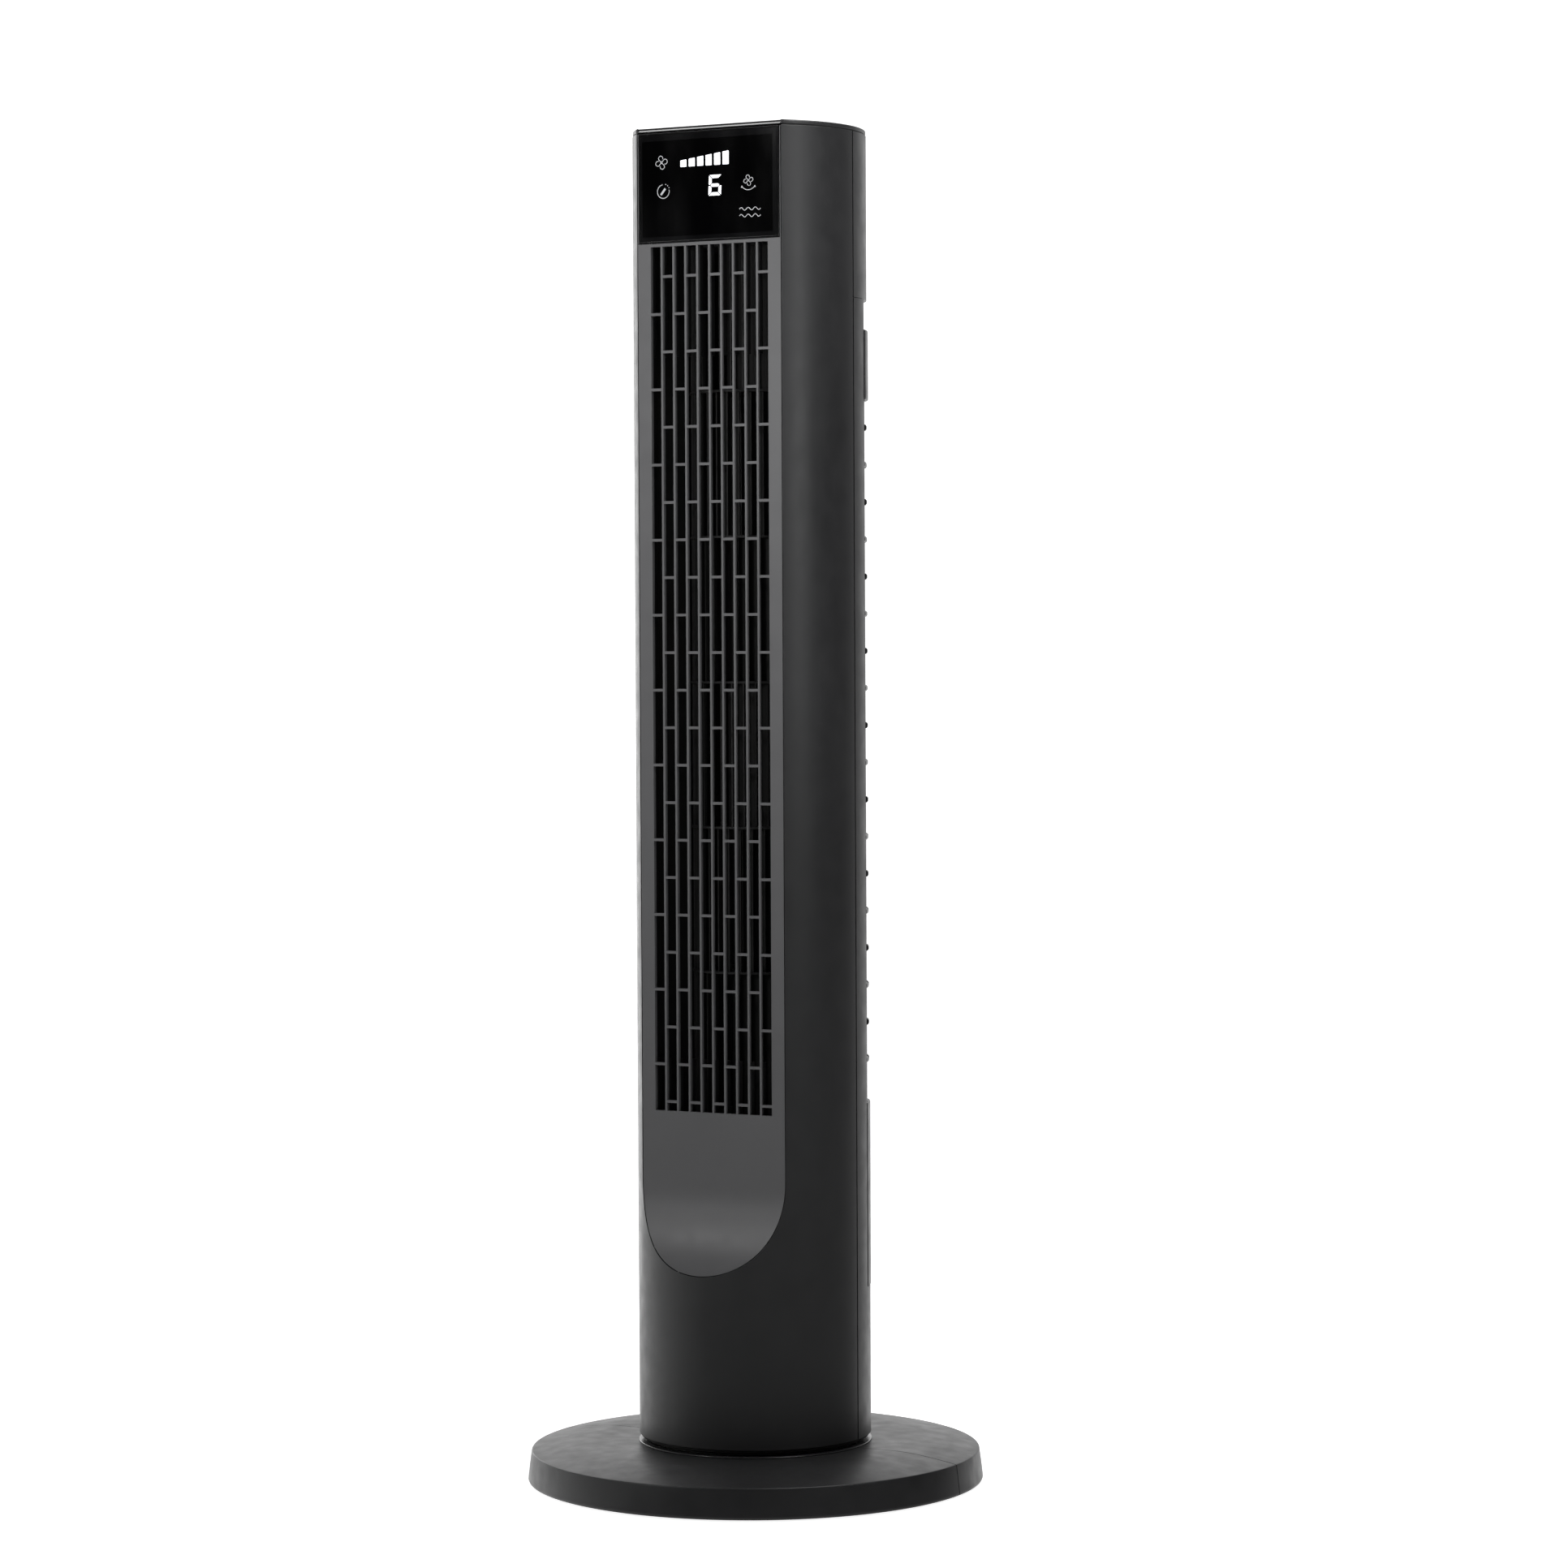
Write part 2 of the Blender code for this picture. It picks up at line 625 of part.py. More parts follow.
def make_motor():
    """The fan motor under the impeller, with its rotor on the impeller's shaft."""
    centre = (0, IMPELLER_Y)
    can = [
        (0.0432, 0.2790),
        (0.0432, 0.2220),
        (0.0412, 0.2220),
        (0.0412, 0.2772),
        (0.0095, 0.2772),
        (0.0095, 0.2790),
    ]
    turned("motor_can", can, "motor_zinc", 28, (*centre, 0))
    end_cap = [
        (0.0120, 0.2320),
        (0.0120, 0.2255),
        (0.0409, 0.2255),
        (0.0409, 0.2230),
        (0, 0.2230),
        (0, 0.2250),
        (0.0045, 0.2250),
        (0.0045, 0.2320),
    ]
    turned("motor_end_cap", end_cap, "motor_zinc", 28, (*centre, 0))
    ring("motor_stator", 0.0409, 0.0245, 0.2360, 0.2660, centre, "steel", 28)
    ring("motor_bearing", 0.0092, SHAFT_RADIUS + GAP, 0.2715, 0.2785, centre, "steel", 24)
    ring("rotor_core", 0.0240, SHAFT_RADIUS + GAP, 0.2380, 0.2640, centre, "steel", 24)
    rod("motor_shaft", SHAFT_RADIUS, 0.2256, 0.3020, centre, "steel", 16)
    rod("impeller_stub_shaft", SHAFT_RADIUS, 0.9640, 0.9890, centre, "steel", 16)


def make_impeller():
    """The long bladed wheel: curved blades through a stack of rings, closed by a disc at each end."""
    centre = (0, IMPELLER_Y)
    low, high = IMPELLER_LOW_Z, IMPELLER_TOP_Z
    disc = 0.0030
    blade_in, blade_out = 0.0390, IMPELLER_RADIUS - 0.0007
    boss = 0.0130
    bore = SHAFT_RADIUS + GAP
    lower_disc = [
        (0.0100, low + boss),
        (0.0100, low + disc),
        (IMPELLER_RADIUS, low + disc),
        (IMPELLER_RADIUS, low),
        (bore, low),
        (bore, low + boss),
    ]
    wheel = turned("impeller", lower_disc, "inner_black", 20, (*centre, 0))
    upper_disc = [
        (IMPELLER_RADIUS, high),
        (IMPELLER_RADIUS, high - disc),
        (0.0100, high - disc),
        (0.0100, high - boss),
        (bore, high - boss),
        (bore, high),
    ]
    top = turned("impeller_top", upper_disc, None, 20, (*centre, 0))
    blades = bmesh.new()
    lean = 22
    thick = 1.5
    for i in range(IMPELLER_BLADES):
        at = 360 / IMPELLER_BLADES * i
        outline = [
            polar(blade_in, at, centre),
            polar(blade_out, at + lean, centre),
            polar(blade_out, at + lean + thick, centre),
            polar(blade_in, at + thick * 1.4, centre),
        ]
        base = [blades.verts.new((x, y, low + disc / 2)) for x, y in outline]
        face = blades.faces.new(base)
        face.normal_update()
        if face.normal.z > 0:
            face.normal_flip()
        lifted = bmesh.ops.extrude_face_region(blades, geom=[face])["geom"]
        tops = [v for v in lifted if isinstance(v, bmesh.types.BMVert)]
        bmesh.ops.translate(blades, vec=(0, 0, high - low - disc), verts=tops)
    bmesh.ops.recalc_face_normals(blades, faces=blades.faces)
    combine(wheel, "UNION", from_bmesh("impeller_blades", blades), "MANIFOLD")
    combine(wheel, "UNION", top, "MANIFOLD")
    for i in range(1, IMPELLER_RINGS):
        z = low + (high - low) * i / IMPELLER_RINGS
        band_in = blade_in - 0.001
        band = ring(f"impeller_ring_{i}", IMPELLER_RADIUS, band_in, z - 0.001, z + 0.001, centre, None, 20)
        combine(wheel, "UNION", band, "MANIFOLD")


def involute(angle):
    return math.tan(angle) - angle


def gear_outline(teeth, root, tip, extra):
    """A gear's closed outline about its own centre, one tooth pointing along +Y. Extra widens each tooth."""
    pitch_radius = teeth * GEAR_MODULE / 2
    base_radius = pitch_radius * math.cos(PRESSURE_ANGLE)
    half = math.pi / (2 * teeth) + extra / (2 * pitch_radius) + involute(PRESSURE_ANGLE)
    radii = [root + (tip - root) * share for share in (0, 0.5, 1)]

    def half_angle(radius):
        if radius <= base_radius:
            return half
        return half - involute(math.acos(base_radius / radius))

    points = []
    for i in range(teeth):
        middle = 90 + 360 / teeth * i
        points += [polar(r, middle - math.degrees(half_angle(r))) for r in radii]
        points += [polar(r, middle + math.degrees(half_angle(r))) for r in reversed(radii)]
    return points


def make_swing_gear():
    """The toothed sector on the base, the pinion that rolls in it and the motor that turns the pinion."""
    ring_pitch = RING_TEETH * GEAR_MODULE / 2
    pinion_pitch = PINION_TEETH * GEAR_MODULE / 2
    blank = ring_sector(0.0440, 0.0345, 38, 142, 24)
    sector = plate("ring_gear_sector", blank, GEAR_LOW_Z, GEAR_TOP_Z, "acetal")
    inside = gear_outline(RING_TEETH, ring_pitch - 0.0010, ring_pitch + 0.0016, BACKLASH)
    cut(sector, plate("sector_teeth", inside, GEAR_LOW_Z - 0.002, GEAR_TOP_Z + 0.002))
    outline = gear_outline(PINION_TEETH, pinion_pitch - 0.0015, pinion_pitch + 0.0011, -BACKLASH)
    pinion = plate("swing_pinion", outline, GEAR_LOW_Z + 0.0004, GEAR_TOP_Z, "acetal")
    pinion.location.y = GEAR_CENTRE_Y
    join(pinion, rod("pinion_shaft", 0.0025, GEAR_LOW_Z + 0.002, 0.0500, (0, GEAR_CENTRE_Y), sides=16))
    motor = rod("swing_motor", 0.0250, 0.0390, 0.0590, (0, GEAR_CENTRE_Y), "motor_zinc", 32)
    cut(motor, rod("swing_motor_bore", 0.0029, 0.0300, 0.0505, (0, GEAR_CENTRE_Y), sides=16))


def dome_height(radius):
    """The height of the base's top: flat round the column, then falling towards the rim."""
    share = max(0.0, (radius - BASE_FLAT_RADIUS) / (BASE_EDGE_RADIUS - BASE_FLAT_RADIUS))
    return BASE_TOP_Z - DOME_DROP * share**DOME_POWER


def base_profile():
    """The base's wall as a closed profile: dome, rounded edge, sloping rim, inside, and the hub's sleeve."""
    steps = 3
    radii = [BASE_FLAT_RADIUS + (0.1755 - BASE_FLAT_RADIUS) * i / steps for i in range(steps + 1)]
    top = [(r, dome_height(r)) for r in radii]
    edge = [(0.1777, 0.0240)]
    rim = [(BASE_FOOT_RADIUS, BASE_RIM_Z)]
    wall = 0.0030
    inside = [(0.1774, BASE_RIM_Z), (0.1750, 0.0222)]
    under = [(r, z - wall) for r, z in top[-2::-2]]
    sleeve = BASE_HOLE_RADIUS + wall
    hub = [
        (sleeve, BASE_TOP_Z - wall),
        (sleeve, 0.0066),
        (BASE_HOLE_RADIUS, 0.0066),
        (BASE_HOLE_RADIUS, BASE_TOP_Z),
    ]
    return top + edge + rim + inside + under + hub


def make_base():
    """The disc base in two halves, its bottom cover and pads, the cable's grommet and the hub's screws."""
    for name, side in (("base_front_half", -1), ("base_rear_half", 1)):
        half = turned(name, base_profile(), "shell_black", 48)
        seam = side * GAP / 2
        near, far = sorted((seam, -side * 0.3))
        away = block(name + "_away", (-0.3, near, -0.1), (0.3, far, 0.1))
        for i, degrees in enumerate(HUB_SCREW_DEGREES):
            if (degrees < 180) != (side > 0):
                continue
            tab = ring_sector(BASE_HOLE_RADIUS + 0.001, 0.070, degrees - 9, degrees + 9, 4)
            join(half, plate(f"hub_tab_{i}", tab, 0.0066, 0.0097))
            cut(half, rod(f"tab_hole_{i}", 0.0024, 0, 0.02, polar(HUB_SCREW_RADIUS, degrees), sides=8))
        for i, degrees in enumerate(FOOT_DEGREES):
            if (degrees < 180) != (side > 0):
                continue
            where = polar(FOOT_RING_RADIUS, degrees)
            join(half, rod(f"cover_boss_{i}", 0.0050, COVER_TOP_Z + GAP, 0.0270, where, sides=8))
        cut(half, away)
        if side > 0:
            hole = [(0, 0.02), (0.0078, 0.02), (0.0078, -0.02), (0, -0.02)]
            cut(half, turned("cable_hole", hole, None, 24, (0, 0.178, 0.0125), Y_WARDS))
    grommet = [(0.0075, 0.0027), (0.0075, -0.0025), (0.0036, -0.0025), (0.0036, 0.0027)]
    turned("cable_grommet", grommet, "rubber", 24, (0, 0.1777, 0.0125), Y_WARDS)
    cover = rod("base_bottom_cover", COVER_RADIUS, COVER_LOW_Z, COVER_TOP_Z, (0, 0), "inner_black", 48)
    cover.rotation_euler = (0, 0, math.radians(90))
    for i, degrees in enumerate(FOOT_DEGREES):
        rod(f"foot_pad_{i + 1}", FOOT_RADIUS, 0, FOOT_HEIGHT, polar(FOOT_RING_RADIUS, degrees), "rubber", 16)
    hub_screw = [
        (0, 0.0125),
        (0.0019, 0.0125),
        (0.0019, 0.0063),
        (0.0040, 0.0063),
        (0.0040, 0.0040),
        (0, 0.0040),
    ]
    for i, degrees in enumerate(HUB_SCREW_DEGREES):
        place = (*polar(HUB_SCREW_RADIUS, degrees), 0)
        turned(f"hub_screw_{i + 1}", hub_screw, "steel", 10, place)


def make_turntable():
    """The hub in the base, the glide ring on it, and the column's foot with its hollow pivot and nut."""
    hub = turned(
        "turntable_hub",
        [(0.0925, 0.0331), (0.0925, 0.0321), (0.0868, 0.0321), (0.0868, 0.0100), (0.0120, 0.0100),
         (0.0120, 0.0300), (0.0160, 0.0300), (0.0160, 0.0130), (0.0840, 0.0130), (0.0840, 0.0275),
         (0.0700, 0.0275), (0.0700, 0.0300), (0.0840, 0.0300), (0.0840, 0.0331)],
        "shell_black", 32,
    )
    for i, degrees in enumerate(HUB_SCREW_DEGREES):
        cut(hub, rod(f"hub_hole_{i}", 0.0022, 0, 0.02, polar(HUB_SCREW_RADIUS, degrees), sides=8))
    ring("glide_ring", 0.0820, 0.0710, 0.0303, 0.0335, (0, 0), "acetal", 32)
    foot = turned(
        "column_foot",
        [(0.0889, 0.0460), (0.0889, 0.0379), (0.0905, 0.0379), (0.0905, 0.0362), (0.0862, 0.0362),
         (0.0862, 0.0338), (PIVOT_RADIUS, 0.0338), (PIVOT_RADIUS, 0.0062), (0.0090, 0.0062),
         (0.0090, 0.0370), (0.0862, 0.0370), (0.0862, 0.0460)],
        "inner_black", 32,
    )
    cut(foot, rod("swing_shaft_hole", 0.0040, 0.02, 0.05, (0, GEAR_CENTRE_Y), sides=16))
    nut = rod("pivot_nut", 0.0185, 0.0064, 0.0097, (0, 0), "acetal", 6)
    cut(nut, rod("nut_bore", PIVOT_RADIUS + GAP, 0, 0.02, (0, 0), sides=32))
    nut.data.shade_flat()


def make_electrics():
    """The power board, the motor's capacitor, and the wire from the board to the display."""
    board = block("power_board", (-0.045, 0.0480, 0.085), (0.045, 0.0496, 0.185), "board_green")
    join(board, block("supply_module", (-0.020, 0.0300, 0.100), (0.015, 0.0485, 0.130)))
    join(board, block("connector", (-0.040, 0.0400, 0.160), (-0.022, 0.0485, 0.172)))
    rod("run_capacitor", 0.0130, 0.090, 0.130, (0.0330, 0.0200), "wire_white", 20)
    route = [
        (-0.040, 0.0380, 0.166),
        (-0.052, 0.0370, 0.170),
        (-0.068, 0.0220, 0.180),
        (-0.082, 0.0020, 0.200),
        (-0.086, -0.004, 0.225),
        (-0.086, -0.004, 0.995),
        (-0.080, -0.012, 1.010),
        (-0.062, -0.030, 1.020),
        (-0.046, -0.0540, 1.022),
    ]
    curve = bpy.data.curves.new("wiring_loom", "CURVE")
    curve.dimensions = "3D"
    curve.bevel_depth = 0.0018
    curve.bevel_resolution = 1
    curve.use_fill_caps = True
    spline = curve.splines.new("POLY")
    spline.points.add(len(route) - 1)
    for point, place in zip(spline.points, route):
        point.co = (*place, 1)
    add_object("wiring_loom", curve, "wire_white")


def make_shell_screws():
    for i, (x, z) in enumerate(SHELL_SCREWS):
        turned(f"shell_screw_{i + 1}", screw_profile(), "steel", 12, screw_place(x, z), SCREW_TURN)


for old in list(bpy.data.objects):
    bpy.data.objects.remove(old)
PARTS = collection("tower_fan")
CUTTERS = collection("cutters")
make_base()
make_turntable()
make_swing_gear()
make_front_shell()
make_rear_shell()
make_shell_screws()
make_front_panel()
make_rear_grille()
make_rear_covers()
make_display()
make_top()
make_end_plates()
make_air_guides()
make_impeller()
make_motor()
make_electrics()
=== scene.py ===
"""The looks of the tower fan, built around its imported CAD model.

Metres, +Z up, front towards -Y. Every piece rides on a CAD body, so the poses move it.
"""

import json
import math

import bmesh
import bpy
from mathutils import Matrix, Vector


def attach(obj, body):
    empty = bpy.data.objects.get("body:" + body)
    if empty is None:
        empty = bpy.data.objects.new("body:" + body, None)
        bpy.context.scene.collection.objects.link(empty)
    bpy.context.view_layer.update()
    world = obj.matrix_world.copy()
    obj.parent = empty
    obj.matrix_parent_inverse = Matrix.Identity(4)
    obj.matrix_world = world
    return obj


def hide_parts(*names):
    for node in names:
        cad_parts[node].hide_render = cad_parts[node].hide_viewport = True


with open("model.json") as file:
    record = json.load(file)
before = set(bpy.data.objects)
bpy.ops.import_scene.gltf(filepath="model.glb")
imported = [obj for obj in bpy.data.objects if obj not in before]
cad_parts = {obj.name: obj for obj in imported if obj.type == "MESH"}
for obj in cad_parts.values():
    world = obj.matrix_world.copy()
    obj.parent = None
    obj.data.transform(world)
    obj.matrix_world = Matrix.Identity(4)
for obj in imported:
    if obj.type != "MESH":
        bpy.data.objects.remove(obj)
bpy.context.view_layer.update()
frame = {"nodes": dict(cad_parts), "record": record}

# The same dimensions as the CAD source
HEIGHT = 1.0668
R = 0.092
FLAT_Y = -0.066
SWEEP_TOP_Z = 0.245
SWEEP_RADIUS = 0.115
LIP = 0.0008
SEAM = 0.0005
SHELL_LOW_Z = 0.0382
SHELL_TOP_Z = 1.0626
GRILLE_HALF_WIDTH = 0.0521
GRILLE_LOW_Z = 0.2975
GRILLE_TOP_Z = 0.9738
GRILLE_COLUMNS = 10
BAR_WIDTH = 0.0017
BRIDGE_HEIGHT = 0.0021
BRIDGE_PITCH = 0.0587
ODD_BRIDGE_Z = 0.9212
EVEN_BRIDGE_Z = 0.9505
UPPER_VANE_LOW_Z = 0.888
LOWER_VANE_TOP_Z = 0.3385
PANEL_TOP_Z = 0.9762
REAR_START = 14.5
SEAM_END = 89.6
REAR_LOW_Z = 0.1555
REAR_TOP_Z = 0.9335
REAR_COVER_TOP_Z = 0.3010
REAR_HANDLE_LOW_Z = 0.8550
REAR_HANDLE_TOP_Z = 0.9100
REAR_BRIDGE_Z = 0.8044
IMPELLER_Y = 0.004
BUTTON_X = {
    "power_button": 0.0, "speed_button": -0.022, "mode_button": 0.022, "timer_button": -0.044, "swing_button": 0.044,
}
BUTTON_Y = -0.034
BUTTON_RADIUS = 0.0063
WHEEL_LOW_Z = 0.2905
WHEEL_TOP_Z = 0.9765
CABLE_Z = 0.0125
SHELL_SCREWS = ((-0.030, 0.100), (0.030, 0.100), (-0.030, 1.010), (0.030, 1.010))
FOOT_DEGREES = (55, 125, 195, 240, 300, 345)

# The display's print, measured along its face
LEVEL_Z = 1.0348
LEVEL_WIDTH = 0.0054
LEVEL_PITCH = 0.00752
FAN_MARK = (-0.0417, 1.0391)
TIMER_MARK = (-0.0402, 1.0166)
SWING_MARK = (0.0355, 1.0214)
WAVE_PITCH = 0.0062

# How bright the white studio looks to the object, by direction
BACK_WIDE, BACK_NARROW, LEFT_GLOW, FLOOR_GLOW = 0.565, 0.700, 0.77, 0.82


# ---------------------------------------------------------------- materials

def shader_of(name):
    """A new material, its tree, its shader and the object's own coordinates."""
    material = bpy.data.materials.new(name)
    material.use_nodes = True
    tree = material.node_tree
    coordinates = tree.nodes.new("ShaderNodeTexCoord").outputs["Object"]
    return material, tree, tree.nodes["Principled BSDF"], coordinates


def noise(tree, coordinates, scale, detail=3.0, stretch=None):
    """A noise texture in metres, stretched along an axis where stretch says so."""
    node = tree.nodes.new("ShaderNodeTexNoise")
    node.inputs["Scale"].default_value = scale
    node.inputs["Detail"].default_value = detail
    source = coordinates
    if stretch:
        mapping = tree.nodes.new("ShaderNodeMapping")
        mapping.inputs["Scale"].default_value = stretch
        tree.links.new(coordinates, mapping.inputs["Vector"])
        source = mapping.outputs["Vector"]
    tree.links.new(source, node.inputs["Vector"])
    return node.outputs["Fac"]


def remap(tree, value, low, high, to_low=0.0, to_high=1.0):
    node = tree.nodes.new("ShaderNodeMapRange")
    node.inputs["From Min"].default_value = low
    node.inputs["From Max"].default_value = high
    node.inputs["To Min"].default_value = to_low
    node.inputs["To Max"].default_value = to_high
    tree.links.new(value, node.inputs["Value"])
    return node.outputs["Result"]


def blend_colours(tree, factor, first, second):
    node = tree.nodes.new("ShaderNodeMix")
    node.data_type = "RGBA"
    node.inputs["A"].default_value = (*first, 1)
    node.inputs["B"].default_value = (*second, 1)
    tree.links.new(factor, node.inputs["Factor"])
    return node.outputs["Result"]


def bump_of(tree, layers):
    """A chain of bumps from (height, strength, distance) layers."""
    normal = None
    for height, strength, distance in layers:
        node = tree.nodes.new("ShaderNodeBump")
        node.inputs["Strength"].default_value = strength
        node.inputs["Distance"].default_value = distance
        tree.links.new(height, node.inputs["Height"])
        if normal:
            tree.links.new(normal, node.inputs["Normal"])
        normal = node.outputs["Normal"]
    return normal


def dress(tree, shader, colour, roughness, layers):
    tree.links.new(colour, shader.inputs["Base Color"])
    tree.links.new(roughness, shader.inputs["Roughness"])
    tree.links.new(bump_of(tree, layers), shader.inputs["Normal"])


def moulded(name, colour, roughness, grain=1500.0, depth=0.00003, spread=0.06, lift=1.25, metallic=0.0,
            stretch=None):
    """Moulded or pressed material: fine grain, slow flow variation in colour and gloss, and faint dust."""
    material, tree, shader, coordinates = shader_of(name)
    fine = noise(tree, coordinates, grain, 2.0, stretch)
    flow = noise(tree, coordinates, 9.0, 4.0)
    cloud = noise(tree, coordinates, 70.0, 4.0, stretch)
    light = tuple(min(1.0, c * lift) for c in colour)
    mixed = blend_colours(tree, remap(tree, flow, 0.3, 0.7), colour, light)
    gloss = remap(tree, cloud, 0.25, 0.75, roughness - spread, roughness + spread)
    dress(tree, shader, mixed, gloss, [(cloud, 0.04, 0.0004), (fine, 0.35, depth)])
    shader.inputs["Metallic"].default_value = metallic
    return material


def glossy(name, colour, roughness=0.05, coat=0.6):
    """Polished acrylic with a trace of handling: faint smears in the gloss and a very slight waviness."""
    material, tree, shader, coordinates = shader_of(name)
    smears = noise(tree, coordinates, 38.0, 6.0, (1.0, 1.0, 0.35))
    waves = noise(tree, coordinates, 14.0, 1.0)
    specks = noise(tree, coordinates, 900.0, 2.0)
    tint = tuple(c * 1.5 + 0.001 for c in colour)
    mixed = blend_colours(tree, remap(tree, smears, 0.4, 0.8), colour, tint)
    gloss = remap(tree, smears, 0.35, 0.75, roughness, roughness + 0.07)
    dress(tree, shader, mixed, gloss, [(waves, 0.03, 0.001), (specks, 0.02, 0.00001)])
    shader.inputs["Coat Weight"].default_value = coat
    shader.inputs["Coat Roughness"].default_value = 0.03
    return material


def glowing(name, colour, strength):
    """A glowing symbol: a slightly uneven light guide behind a print. The display's lit segments are real light; the
    faint glow given to grey printed marks is painted light.
    """
    material, tree, shader, coordinates = shader_of(name)
    uneven = noise(tree, coordinates, 220.0, 3.0)
    warm = tuple(c * 0.86 for c in colour)
    mixed = blend_colours(tree, remap(tree, uneven, 0.3, 0.7), colour, warm)
    tree.links.new(mixed, shader.inputs["Base Color"])
    tree.links.new(mixed, shader.inputs["Emission Color"])
    shader.inputs["Emission Strength"].default_value = strength
    shader.inputs["Roughness"].default_value = 0.35
    return material


def board_material(name):
    """Solder mask, its traces drawn as the edges of fine cells."""
    material, tree, shader, coordinates = shader_of(name)
    cells = tree.nodes.new("ShaderNodeTexVoronoi")
    cells.feature = "DISTANCE_TO_EDGE"
    cells.inputs["Scale"].default_value = 240.0
    tree.links.new(coordinates, cells.inputs["Vector"])
    traces = remap(tree, cells.outputs["Distance"], 0.05, 0.09, 1.0, 0.0)
    greens = blend_colours(tree, traces, (0.010, 0.085, 0.035), (0.030, 0.190, 0.080))
    gloss = remap(tree, noise(tree, coordinates, 300.0), 0.3, 0.7, 0.30, 0.45)
    dress(tree, shader, greens, gloss, [(traces, 0.4, 0.00005)])
    return material


def lamination(name):
    """A stack of thin steel sheets: fine lines across Z."""
    material, tree, shader, coordinates = shader_of(name)
    wave = tree.nodes.new("ShaderNodeTexWave")
    wave.bands_direction = "Z"
    wave.inputs["Scale"].default_value = 320.0
    wave.inputs["Distortion"].default_value = 0.4
    tree.links.new(coordinates, wave.inputs["Vector"])
    lines = wave.outputs["Fac"]
    greys = blend_colours(tree, lines, (0.25, 0.25, 0.26), (0.50, 0.50, 0.51))
    gloss = remap(tree, noise(tree, coordinates, 200.0), 0.3, 0.7, 0.32, 0.48)
    dress(tree, shader, greys, gloss, [(lines, 0.5, 0.0001)])
    shader.inputs["Metallic"].default_value = 1.0
    return material


SHELL = moulded("satin_black_shell", (0.019, 0.019, 0.020), 0.40)
BASE = moulded("satin_black_base", (0.020, 0.020, 0.021), 0.41, grain=1200.0, depth=0.00004)
RING = moulded("smooth_black_ring", (0.030, 0.030, 0.031), 0.24, spread=0.03)
PANEL = moulded("satin_grey_panel", (0.106, 0.106, 0.109), 0.37, lift=1.06)
# The vanes are the panel's own grey plastic, darkened to near black as painted shade inside the slots.
PANEL_GREY_IN_SHADE = moulded("panel_grey_painted_shade", (0.020, 0.020, 0.021), 0.55)
# Near black, ten times darker than the shell plastic: the inner parts' black with painted shade in it. It is also put
# on cut edges, backing strips and the column's foot so that seams and gaps read dark.
INNER_BLACK_AND_SHADE = moulded("inner_black", (0.0018, 0.0018, 0.0018), 0.75)
LENS = glossy("gloss_black_lens", (0.0013, 0.0013, 0.0015), 0.05, 0.0)
BEZEL = glossy("gloss_black_bezel", (0.0030, 0.0030, 0.0034), 0.06, 0.0)
BORDER = glossy("printed_black_border", (0.0045, 0.0045, 0.0050), 0.07, 0.0)
FASCIA = glossy("gloss_black_fascia", (0.004, 0.004, 0.0045), 0.10)
RUBBER = moulded("black_rubber", (0.014, 0.014, 0.014), 0.82, grain=700.0, depth=0.00008, spread=0.1)
ZINC = moulded("zinc_plate", (0.42, 0.43, 0.44), 0.36, grain=900.0, metallic=1.0, lift=1.15)
STEEL = moulded("turned_steel", (0.55, 0.55, 0.57), 0.26, grain=1400.0, metallic=1.0, lift=1.1, stretch=(1, 1, 9))
ACETAL = moulded("acetal", (0.72, 0.71, 0.67), 0.36, lift=1.1)
BRONZE = moulded("sintered_bronze", (0.42, 0.28, 0.13), 0.42, grain=1100.0, depth=0.00006, metallic=1.0)
INSULATION = moulded("white_insulation", (0.66, 0.66, 0.64), 0.42, grain=900.0)
GUIDE = moulded("light_guide", (0.70, 0.70, 0.70), 0.45, lift=1.1)
BOARD = board_material("solder_mask")
STACK = lamination("steel_stack")
LIT = glowing("lit_white", (0.95, 0.96, 1.0), 1.1)
# Grey print with a faint glow of its own: painted light, as the marks are no lamp.
PRINT_WITH_PAINTED_GLOW = glowing("printed_grey_painted_glow", (0.55, 0.56, 0.58), 0.12)

# The materials of each CAD material slot. The first of each is also what the CAD's own solids wear.
SLOTS = {
    "shell_black": (SHELL, BASE, RING), "panel_grey": (PANEL, PANEL_GREY_IN_SHADE), "gloss_black": (FASCIA, LENS, BEZEL, BORDER),
    "inner_black": (INNER_BLACK_AND_SHADE,), "light_guide": (GUIDE, LIT, PRINT_WITH_PAINTED_GLOW), "board_green": (BOARD,), "steel": (STEEL,),
    "motor_zinc": (ZINC,), "acetal": (ACETAL,), "rubber": (RUBBER,), "bronze": (BRONZE,),
    "wire_white": (INSULATION,),
}

for part in frame["record"]["subparts"]:
    for place in frame["nodes"][part["node"]].material_slots:
        place.material = SLOTS[part["material_slot"]][0]
for name in ("motor_stator", "rotor_core"):
    frame["nodes"][name].material_slots[0].material = STACK


# ---------------------------------------------------------------- mesh tools

def polar(radius, degrees, centre=(0.0, 0.0)):
    angle = math.radians(degrees)
    return (centre[0] + radius * math.cos(angle), centre[1] + radius * math.sin(angle))


def arc(radius, start, end, steps, centre=(0.0, 0.0)):
    return [polar(radius, start + (end - start) * i / steps, centre) for i in range(steps + 1)]


